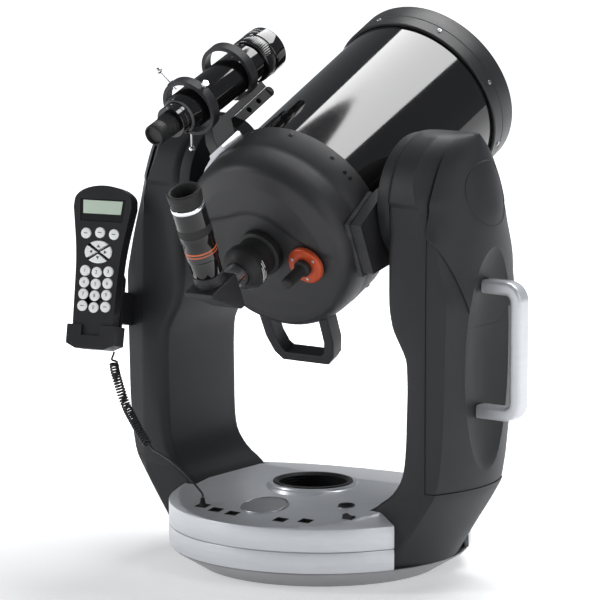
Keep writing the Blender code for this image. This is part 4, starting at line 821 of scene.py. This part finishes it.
def build_base():
    steps = 180
    sections = [cover_section(2 * math.pi * i / steps) for i in range(steps)]
    tools = []
    for side in (-1, 1):
        low, high = sorted((side * (FOOT_X - GAP), side * 0.21))
        tools.append(block((low, -NOTCH_HALF_W, 0.04), (high, NOTCH_REAR, 0.12)))
    for x, y in PORTS:
        tools.append(block((x - 0.0075, y - 0.006, 0.06), (x + 0.0075, y + 0.006, 0.12)))
    hole = turned([(0.0, 0.06), (0.0103, 0.06), (0.0103, 0.12), (0.0, 0.12)], 48)
    hole.transform(move(*INLET, 0.0))
    tools.append(hole)
    tools.append(block((SWITCH[0] - 0.0075, SWITCH[1] - 0.0055, 0.06), (SWITCH[0] + 0.0075,
        SWITCH[1] + 0.0055, 0.12)))
    place("top_cover_shell", carve(loft(sections, True), tools), "silver_paint", "fork",
        nodes=["top_cover"], sharp=20.0)
    drum = turned([(BASE_R - 0.0016, PAN_TOP + 0.0005), (BASE_R - 0.0004, PAN_TOP + 0.0011),
        (BASE_R, PAN_TOP + 0.0022), (BASE_R, BAND_TOP - 0.0014),
        (BASE_R - 0.0003, BAND_TOP - 0.0005), (BASE_R - 0.0012, BAND_TOP), (0.0265, BAND_TOP),
        (0.0265, 0.0290), (0.0360, 0.0290), (0.0360, 0.0437), (BASE_R - 0.0055, 0.0437),
        (BASE_R - 0.0055, PAN_TOP + 0.0005)], 200)
    notches = []
    for side in (-1, 1):
        low, high = sorted((side * (FOOT_LOW_X - GAP), side * 0.21))
        notches.append(block((low, -NOTCH_HALF_W, 0.0), (high, NOTCH_REAR, 0.07)))
    place("drive_base_shell", carve(drum, notches), "silver_paint", "fork", nodes=["drive_base"],
        sharp=30.0)

    profile = [(WELL_R, 0.0860), (WELL_R, COLLAR_Z + 0.0008), (WELL_R - 0.0004, COLLAR_Z + 0.0016),
        (0.0486, COLLAR_Z + 0.0020), (0.0466, COLLAR_Z + 0.0020), (0.0456, COLLAR_Z + 0.0014)]
    for i in range(9):
        z = COLLAR_Z - 0.0005 - 0.0032 * i
        profile += [(0.0440, z), (0.0428, z - 0.0008), (0.0428, z - 0.0020), (0.0440, z - 0.0028)]
    profile += [(0.0420, 0.0742), (0.0, 0.0742), (0.0, 0.0712), (0.0450, 0.0712), (0.0458, 0.0860)]
    place("centre_well_shell", turned(profile, 120), "black_plastic", "fork",
        move(0.0, WELL_Y, 0.0), ["centre_well"])
    frames = []
    for x, y in PORTS:
        z = cover_height(x, y)
        slope = Matrix.Rotation(math.atan(PANEL_SLOPE), 4, "X")
        outer = [(-0.0082, -0.0067), (0.0082, -0.0067), (0.0082, 0.0067), (-0.0082, 0.0067)]
        rim = carve(slab(outer, "Z", -0.0070, 0.0004),
            [slab([(u * 0.86, v * 0.82) for u, v in outer], "Z", -0.0062, 0.01)])
        frames.append((rim, move(x, y, z) @ slope))
    place("port_frames", together(frames), "black_rubber", "fork", bevel=0.00025)
    build_panel_disc()


def build_panel_disc():
    """Round plate: a brushed disc inside a raised rim."""
    y = -0.1170
    z = RIM_Z - 0.0005 + PANEL_SLOPE * (PANEL_EDGE_Y + y)
    at = move(0.0, y, z) @ Matrix.Rotation(math.atan(PANEL_SLOPE), 4, "X")
    place("panel_disc_rim", turned([(0.0272, GAP), (0.0300, GAP), (0.0300, 0.0010),
        (0.0294, 0.0018), (0.0286, 0.0021), (0.0278, 0.0019), (0.0272, 0.0013)], 96),
        "anodised_rail", "fork", at, ["panel_disc"], slot="silver_paint")
    place("panel_disc_face", turned([(0.0, GAP), (0.0271, GAP), (0.0271, 0.0012), (0.0265, 0.0014),
        (0.0, 0.0014)], 96), "grey_pan", "fork", at)
    x, y = INLET
    z = cover_height(x, y)
    at = move(x, y, z) @ Matrix.Rotation(math.atan(PANEL_SLOPE), 4, "X")
    place("inlet_rim", turned([(0.0092, -0.0020), (0.0112, -0.0020), (0.0112, 0.0006),
        (0.0108, 0.0010), (0.0096, 0.0010), (0.0092, 0.0006)], 64), "anodised_rail", "fork", at,
        slot="silver_paint")


# ---- arms --------------------------------------------------------------------------------
ARM_SPLIT_X = 0.2153
ARM_HALF_W = 0.083
HEAD_R = 0.0865
HEAD_FACE_X = 0.142
FOOT_LOW_Z = 0.0243
FOOT_TOP_Z = 0.1237
ARM_INNER = [(0.0218, FOOT_LOW_X), (0.0508, FOOT_LOW_X), (0.0512, FOOT_X), (0.098, FOOT_X),
    (0.104, 0.146), (0.112, 0.158), (0.125, 0.169), (0.139, 0.1765), (0.160, 0.1800),
    (0.184, 0.1815), (0.250, 0.1830), (0.285, 0.1815), (0.305, 0.1700), (0.320, 0.1610),
    (0.345, 0.1560), (0.360, 0.1555), (0.600, 0.1555)]
ARM_REAR = [(0.0218, 0.075), (0.098, 0.075), (0.140, 0.070), (0.200, 0.072), (0.300, 0.073),
    (0.400, 0.083), (0.600, 0.083)]
ARM_EDGE = [(0.0218, 0.160), (0.0508, 0.180), (0.085, 0.204), (0.1235, 0.229), (0.150, 0.2345),
    (0.200, 0.239), (0.300, 0.2415), (0.355, 0.2425), (0.400, 0.233), (0.430, 0.2255),
    (0.460, 0.213), (0.500, 0.199), (0.600, 0.199)]
ARM_CROWN = [(0.0218, 0.186), (0.0508, 0.203), (0.085, 0.222), (0.1235, 0.247), (0.160, 0.2525),
    (0.250, 0.2575), (0.460, 0.2577), (0.500, 0.2505), (0.534, 0.242), (0.600, 0.220)]
CAP_LINE = [(-0.100, 0.475), (-0.041, 0.335), (-0.030, 0.322), (0.030, 0.322), (0.041, 0.335),
    (0.100, 0.475)]


def eased(table, z, reach=0.007):
    """The table's value, rounded off at its corners; the step at the seam stays sharp."""
    if z < 0.062:
        return interpolate(table, z)
    return sum(interpolate(table, z + reach * k / 3) for k in range(-3, 4)) / 7


def arm_section(z, proud=0.0):
    half = ARM_HALF_W + proud
    if z > ALTITUDE_Z:
        half = math.sqrt(max((HEAD_R + proud) ** 2 - (z - ALTITUDE_Z) ** 2, 0.0))
    return half, eased(ARM_INNER, z), eased(ARM_EDGE, z) + proud, eased(ARM_CROWN, z) + proud


def crease_at(half, edge, z):
    fade = min(1.0, max(0.0, (z - 0.095) / 0.03))
    return min(ARM_SPLIT_X - 0.004, edge - 0.004), half + 0.0025 * fade


def outside(half, edge, crown, fractions):
    corner = half - 0.003
    return [(crown - (crown - edge) * f * f, f * corner) for f in fractions]


def seam_crossing(half, edge, crown, plane, z):
    if edge > plane + 0.0005:
        crease_x, crease_y = crease_at(half, edge, z)
        part = (plane - crease_x) / (edge - crease_x)
        return crease_y + (half - 0.003 - crease_y) * part, 1.0
    fraction = min(0.995, math.sqrt(max(crown - plane, 0.0) / (crown - edge)))
    return fraction * (half - 0.003), fraction


def mirrored_ring(points, side, z):
    rear = eased(ARM_REAR, z) / ARM_HALF_W
    ring_points = [(x, -y) for x, y in points] + [(x, rear * y) for x, y in reversed(points[:-1])]
    return [(side * x, y, z) for x, y in ring_points]


SPREAD = [1.0 - i / 14 for i in range(15)]


def casting_ring(z, side, open_side):
    half, inner, edge, crown = arm_section(z)
    plane = ARM_SPLIT_X - GAP
    cross, fraction = seam_crossing(half, edge, crown, plane, z)
    corner = [(inner + 0.012 - 0.012 * math.cos(t), half - 0.012 + 0.012 * math.sin(t))
        for t in [math.radians(15 * i) for i in range(7)]]
    points = corner + [crease_at(half, edge, z)]
    if not open_side:
        points += outside(half, edge, crown, SPREAD)
    elif fraction == 1.0:
        points += [(plane, cross * f) for f in SPREAD]
    else:
        points += [(edge, half - 0.003)] + [(plane, cross * f) for f in SPREAD[1:]]
    return mirrored_ring(points, side, z)


def cover_ring(z, side, proud=0.0):
    half, _, edge, crown = arm_section(z, proud)
    cross, fraction = seam_crossing(half, edge, crown, ARM_SPLIT_X, z)
    spread = SPREAD if fraction == 1.0 else [fraction * f for f in SPREAD]
    points = [(ARM_SPLIT_X, cross)]
    tail = outside(half, edge, crown, spread)
    if fraction != 1.0:
        tail[0] = (tail[0][0] + 0.0004, tail[0][1] - 0.0004)
    return mirrored_ring(points + tail, side, z)


def levels_between(low, high, step):
    count = max(1, round((high - low) / step))
    return [low + (high - low) * i / count for i in range(count + 1)]


def head_levels(proud=0.0):
    return [ALTITUDE_Z + (HEAD_R + proud) * math.sin(math.radians(t)) for t in range(4, 80, 5)]


def casting_form(side):
    foot = [FOOT_LOW_Z, 0.0507, 0.0512] + levels_between(0.0550, FOOT_TOP_Z - GAP, 0.006)
    rings = [casting_ring(z, side, False) for z in foot]
    upper = levels_between(FOOT_TOP_Z, ALTITUDE_Z, 0.008) + head_levels()
    return loft(rings + [casting_ring(z, side, True) for z in upper])


def cover_form(side, proud=0.0):
    levels = levels_between(FOOT_TOP_Z + GAP, ALTITUDE_Z, 0.008) + head_levels(proud)
    return loft([cover_ring(z, side, proud) for z in levels])


def scoop():
    """Shallow oval hollow behind the carry handle."""
    return loft([[(0.2577 + 0.0120 - 0.0330 * math.cos(t), 0.063 * math.sin(t) * math.cos(a), 0.2700
        + 0.160 * math.sin(t) * math.sin(a)) for a in [2 * math.pi * i / 64 for i in range(64)]]
        for t in [math.radians(d) for d in (6, 16, 26, 36, 46, 56, 66, 76, 86, 96, 104)]])


def rounded_corners(points, radius, steps=4):
    """Outline with its inner corners rounded."""
    out = [points[0]]
    for a, b, c in zip(points, points[1:], points[2:]):
        a, b, c = Vector(a), Vector(b), Vector(c)
        before, after = (a - b).normalized(), (c - b).normalized()
        reach = min(radius, 0.45 * (a - b).length, 0.45 * (c - b).length)
        start, end = b + before * reach, b + after * reach
        for i in range(steps + 1):
            t = i / steps
            out.append(tuple(start * (1 - t) ** 2 + b * 2 * t * (1 - t) + end * t * t))
    return out + [points[-1]]


def build_arms():
    for side, name in ((1, "right_arm"), (-1, "left_arm")):
        place(name + "_casting", casting_form(side), "graphite_casting", "fork", nodes=[name],
            sharp=24.0)
        boss = turned([(0.0340, 0.1424), (0.0345, HEAD_FACE_X), (0.0805, HEAD_FACE_X),
            (0.0816, 0.1425), (0.0820, 0.1436), (0.0820, 0.1600), (0.0340, 0.1600)], 128)
        place(name + "_boss", boss, "graphite_casting", "fork", move(0.0, 0.0, ALTITUDE_Z)
            @ spin(90 * side, "Y"))
    line = rounded_corners(CAP_LINE, 0.016)
    below = [(-0.12, 0.10), (0.12, 0.10), (0.12, 0.5225 - GAP)]
    below += [(y, z - GAP) for y, z in reversed(line)] + [(-0.12, 0.5225 - GAP)]
    lower = carve(cover_form(1, -0.0012), [slab(below, "X", 0.19, 0.30)], "INTERSECT")
    place("right_cover_shell", carve(lower, [scoop()]), "graphite_cover", "fork",
        nodes=["right_arm_cover"], sharp=24.0, bevel=0.0007)
    above = [(-0.12, 0.5225)] + line + [(0.12, 0.5225), (0.12, 0.60), (-0.12, 0.60)]
    cap = carve(cover_form(1, 0.0010), [slab(above, "X", 0.19, 0.30)], "INTERSECT")
    place("right_cap_shell", carve(cap, [scoop()]), "graphite_cover", "fork",
        nodes=["right_arm_cap"], sharp=24.0, bevel=0.0007)
    place("left_cover_shell", cover_form(-1), "graphite_cover", "fork", nodes=["left_arm_cover"],
        sharp=24.0)
    for side in (-1, 1):
        place(("left" if side < 0 else "right") + "_cap_ring", cap_ring(side), "graphite_casting",
            "fork", sharp=50.0)


def cap_ring(side):
    """Thin round moulding on the outside of an arm's head, following its surface."""
    def skin(y, z, lift):
        half, _, edge, crown = arm_section(z, 0.0010 if side > 0 else 0.0)
        f = min(1.0, abs(y) / (half - 0.003))
        return (side * (crown - (crown - edge) * f * f + lift), y, z)

    rings = []
    for i in range(96):
        a = 2 * math.pi * i / 96
        ring = []
        for r, lift in ((0.0385, -0.0004), (0.0389, 0.0005), (0.0395, 0.0008), (0.0401, 0.0005),
                        (0.0405, -0.0004)):
            ring.append(skin(r * math.cos(a), 0.4850 + r * math.sin(a), lift))
        rings.append(ring)
    return loft(rings, True)


def rounded(half_w, half_h, radius, steps):
    corners = [((half_w - radius), (half_h - radius), 0), (-(half_w - radius), (half_h - radius),
        90), (-(half_w - radius), -(half_h - radius), 180), ((half_w - radius), -(half_h - radius),
        270)]
    out = []
    for x, y, start in corners:
        out += arc((x, y), radius, start, start + 90, steps)
    return out


def build_handle():
    """Silver D-shaped carry handle: a rounded bar along a path with two quarter bends."""
    bar_x, top, low, bend = 0.2948, 0.3720, 0.2175, 0.016
    path = [((0.2472, top), 90.0)]
    for i in range(13):
        t = 90 - 90 * i / 12
        a = math.radians(t)
        path.append(((bar_x - bend + bend * math.cos(a), top - bend + bend * math.sin(a)), t))
    for i in range(13):
        t = -90 * i / 12
        a = math.radians(t)
        path.append(((bar_x - bend + bend * math.cos(a), low + bend + bend * math.sin(a)), t))
    path.append(((0.2405, low), -90.0))
    rings = []
    for (x, z), heading in path:
        out = (math.cos(math.radians(heading)), math.sin(math.radians(heading)))
        rings.append([(x + u * out[0], v, z + u * out[1]) for u,
            v in rounded(0.0083, 0.0110, 0.0045, 6)])
    place("carry_handle_bar", loft(rings), "silver_paint", "fork", nodes=["carry_handle"],
        sharp=50.0)


build_base()
build_arms()
build_handle()


# ---- hand control ------------------------------------------------------------------------
CONTROL_DEPTH = 0.021
KEY_R = 0.0068
KEY_ROWS = [(0.1390, 0.0192, 0.0015), (0.0920, 0.0160, -0.0015), (0.0772, 0.0160, -0.0015),
    (0.0624, 0.0158, -0.0015), (0.0476, 0.0158, -0.0015)]
ARROWS = (0.1160, 0.0186, 0.0142)
BODY_LINE = [(0.0260, 0.0020), (0.0275, 0.0300), (0.0300, 0.1140), (0.0398, 0.1720)]
WINDOW = [(0.0286, 0.1545), (0.0310, 0.1825), (-0.0310, 0.1825), (-0.0286, 0.1545)]


def control_outline(inset=0.0):
    line = rounded_corners(BODY_LINE, 0.030, 6)
    right = [(x - inset, z) for x, z in line]
    right[0] = (right[0][0], right[0][1] + inset)
    top = [(0.0392 * math.cos(math.radians(t)) * (1 - inset / 0.039), 0.1800
        + (0.0200 - inset) * math.sin(math.radians(t))) for t in range(3, 88, 7)]
    side = right + top
    return side + [(-x, z) for x, z in reversed(side)]


def build_control():
    body = slab(control_outline(), "Y", 0.0, CONTROL_DEPTH - 0.0033)
    tools = []
    for height, column, dip in KEY_ROWS:
        for dx in (-1, 0, 1):
            hole = cylinder(KEY_R + 0.0004, -0.01, 0.0050, 40)
            hole.transform(move(dx * column, 0.0, height + (dip if dx == 0 else 0.0)) @ TURNED)
            tools.append(hole)
    z, half_w, half_h = ARROWS
    oval = [(x, z + y) for x, y in [((half_w + 0.0004) * math.cos(math.radians(t)),
        (half_h + 0.0004) * math.sin(math.radians(t))) for t in range(0, 360, 6)]]
    tools.append(slab(oval, "Y", -0.01, 0.0050))
    tools.append(slab(WINDOW, "Y", -0.01, 0.0030))
    place("control_shell", carve(body, tools), "black_plastic", "hand_control", SEAT_FRAME,
        ["control_case"], bevel=0.0012, sharp=30.0)
    place("control_rear", slab(control_outline(), "Y", CONTROL_DEPTH - 0.0030, CONTROL_DEPTH),
        "black_plastic", "hand_control", SEAT_FRAME, ["control_back"], bevel=0.0012)
    glass = [(x * 0.985, v + (0.0004 if v < 0.17 else -0.0004)) for x, v in WINDOW]
    place("window_glass", slab(glass, "Y", 0.0006, 0.0022), "dark", "hand_control", SEAT_FRAME,
        ["display_window"], bevel=0.0002, slot="black_plastic")
    lcd = [(0.0258, 0.1640), (0.0272, 0.1808), (-0.0272, 0.1808), (-0.0258, 0.1640)]
    place("display_panel", slab(lcd, "Y", 0.0003, 0.0010), "display_face", "hand_control",
        SEAT_FRAME, bevel=0.0002)
    build_keys()


def key_disc(radius):
    return turned([(0.0, -0.0052), (radius, -0.0052), (radius, 0.0006), (radius * 0.965, 0.0011),
        (radius * 0.90, 0.0015), (radius * 0.70, 0.0017), (0.0, 0.0018)], 40)


def build_keys():
    face = spin(90, "X")            # own Z to -Y, towards the observer
    parts = [(slab([(0.0235, 0.0380), (0.0250, 0.1000), (0.0285, 0.1480), (-0.0285, 0.1480),
        (-0.0250, 0.1000), (-0.0235, 0.0380)], "Y", 0.0051, 0.0060), WORLD)]
    marks = []
    digit = 0
    for row, (height, column, dip) in enumerate(KEY_ROWS):
        for dx in (-1, 0, 1):
            at = move(dx * column, 0.0, height + (dip if dx == 0 else 0.0))
            parts.append((key_disc(KEY_R), at @ face))
            if 0 < row < 4 or (row == 4 and dx == 0):
                digit = (digit + 1) % 10 if row < 4 else 0
                marks.append((figure(str(digit)), at @ face @ move(0.0, 0.0, 0.0017)))
            else:
                bar = slab([(-0.0024, -0.0005), (0.0024, -0.0005), (0.0024, 0.0005),
                    (-0.0024, 0.0005)], "Z", 0.0, 0.0003)
                marks.append((bar, at @ face @ move(0.0, 0.0, 0.0016)))
    z, half_w, half_h = ARROWS
    for quarter in range(4):
        middle = 90 * quarter
        spread = 33 if quarter % 2 == 0 else 41
        steps = 10
        points = [(half_w * math.cos(math.radians(t)), half_h * math.sin(math.radians(t)))
            for t in [middle - spread + 2 * spread * i / steps for i in range(steps + 1)]]
        a = math.radians(middle)
        points.append((0.0026 * math.cos(a), 0.0026 * math.sin(a)))
        inner = [(0.0026 * math.cos(a) + (x - 0.0026 * math.cos(a)) * 0.93, 0.0026 * math.sin(a)
            + (y - 0.0026 * math.sin(a)) * 0.93) for x, y in points]
        key = loft([[(x, z + y, 0.0) for x, y in points], [(x, z + y, 0.0062) for x, y in points],
            [(x, z + y, 0.0069) for x, y in inner]])
        parts.append((key, move(0.0, 0.0052, 0.0) @ Matrix(((1, 0, 0, 0), (0, 0, -1, 0),
            (0, 1, 0, 0), (0, 0, 0, 1)))))
        u, v = math.cos(a), math.sin(a)
        tip = [(0.0118 * u if abs(u) > 0.5 else 0.0, 0.0092 * v if abs(v) > 0.5 else 0.0)]
        base = (tip[0][0] - 0.0036 * u, tip[0][1] - 0.0036 * v)
        triangle = tip + [(base[0] - 0.0023 * v, base[1] + 0.0023 * u), (base[0] + 0.0023 * v,
            base[1] - 0.0023 * u)]
        mark = slab([(x, z + y) for x, y in triangle], "Y", -0.0020, -0.0016)
        marks.append((mark, WORLD))
    place("key_mat_shell", together(parts), "key_silicone", "key_mat", SEAT_FRAME, ["keypad"],
        sharp=30.0)
    place("key_marks", together(marks), "print_grey", "key_mat", SEAT_FRAME, slot="black_plastic")


def figure(text):
    """A plain numeral as a thin solid, centred on the origin."""
    curve = bpy.data.curves.new("figure", "FONT")
    curve.body = text
    curve.size = 0.0064
    curve.extrude = 0.0002
    curve.align_x = "CENTER"
    curve.align_y = "CENTER"
    obj = bpy.data.objects.new("figure", curve)
    bpy.context.scene.collection.objects.link(obj)
    bpy.context.view_layer.update()
    mesh = bpy.data.meshes.new_from_object(obj.evaluated_get(bpy.context.evaluated_depsgraph_get()))
    bm = bmesh.new()
    bm.from_mesh(mesh)
    bpy.data.objects.remove(obj)
    bpy.data.curves.remove(curve)
    return bm


build_control()


# ---- every other CAD node ----------------------------------------------------------------
EDGES = {"rear_handle": 0.0034, "right_trunnion": 0.0016, "left_trunnion": 0.0016,
    "base_pan": 0.0006, "control_holder": 0.0008, "bracket_clamp": 0.0006, "finder_base": 0.0006,
    "power_switch": 0.0005, "power_socket": 0.0003}


def dress_nodes():
    slots = {row["node"]: row["material_slot"] for row in frame["record"]["subparts"]}
    for name, obj in frame["nodes"].items():
        obj.data.materials.clear()
        obj.data.materials.append(MATS[slots[name]])
        obj.data.polygons.foreach_set("material_index", [0] * len(obj.data.polygons))
        if obj.hide_render:
            continue
        obj.data.shade_smooth()
        weld = obj.modifiers.new("weld", "WELD")
        weld.merge_threshold = 0.00002
        soften(obj, EDGES.get(name, 0.0003))


dress_nodes()


# ---- studio ------------------------------------------------------------------------------
def plain_surface(name, colour, glow=0.0):
    mat = bpy.data.materials.new(name)
    mat.use_nodes = True
    shader = mat.node_tree.nodes["Principled BSDF"]
    set_inputs(shader, {"Base Color": (*colour, 1.0), "Roughness": 0.7,
        "Emission Color": (*colour, 1.0), "Emission Strength": glow})
    return mat


def floor_surface():
    """Pale floor that holds its shadow near the object and runs out to white further off."""
    mat = plain_surface("floor", (0.92, 0.92, 0.925))
    nodes, links = mat.node_tree.nodes, mat.node_tree.links
    coords = nodes.new("ShaderNodeTexCoord")
    length = nodes.new("ShaderNodeVectorMath")
    length.operation = "LENGTH"
    links.new(coords.outputs["Object"], length.inputs[0])
    glow = nodes.new("ShaderNodeMapRange")
    glow.interpolation_type = "SMOOTHSTEP"
    links.new(length.outputs["Value"], glow.inputs["Value"])
    set_inputs(glow, {"From Min": 0.35, "From Max": 1.5, "To Min": 0.38, "To Max": 1.1})
    links.new(glow.outputs["Result"], nodes["Principled BSDF"].inputs["Emission Strength"])
    return mat


def softbox(name, place_at, target, size, power):
    light = bpy.data.lights.new(name, "AREA")
    light.shape = "RECTANGLE"
    light.size, light.size_y = size
    light.energy = power
    obj = bpy.data.objects.new(name, light)
    obj.location = place_at
    obj.rotation_euler = (Vector(target) - Vector(place_at)).to_track_quat("-Z", "Y").to_euler()
    obj.visible_camera = False
    bpy.context.scene.collection.objects.link(obj)


def build_studio():
    scene = bpy.context.scene
    scene.view_settings.view_transform = "Standard"
    world = bpy.data.worlds.new("studio")
    world.use_nodes = True
    world.node_tree.nodes["Background"].inputs["Color"].default_value = (0.90, 0.94, 1.0, 1.0)
    world.node_tree.nodes["Background"].inputs["Strength"].default_value = 0.24
    scene.world = world
    floor = bpy.data.objects.new("floor", bpy.data.meshes.new("floor"))
    bm = bmesh.new()
    bmesh.ops.create_circle(bm, cap_ends=True, segments=96, radius=26.0)
    bm.transform(move(0.0, 0.0, -0.0006))
    bm.to_mesh(floor.data)
    bm.free()
    floor.data.materials.append(floor_surface())
    dome = bpy.data.objects.new("backdrop", bpy.data.meshes.new("backdrop"))
    bm = bmesh.new()
    bmesh.ops.create_uvsphere(bm, u_segments=64, v_segments=32, radius=27.0)
    bm.to_mesh(dome.data)
    bm.free()
    dome.data.materials.append(plain_surface("backdrop", (1.0, 1.0, 1.0), 1.0))
    dome.visible_glossy = False
    dome.visible_diffuse = False
    dome.visible_shadow = False
    for obj in (floor, dome):
        scene.collection.objects.link(obj)
    softbox("top_softbox", (0.13, 1.20, 2.60), (0.0, 0.25, 0.55), (2.45, 0.95), 62.0)
    softbox("front_fill", (-2.6, -2.4, 1.6), (0.0, 0.0, 0.3), (0.5, 1.9), 36.0)
    softbox("right_fill", (3.2, -0.7, 1.5), (0.2, 0.0, 0.35), (0.9, 1.6), 16.0)


build_studio()
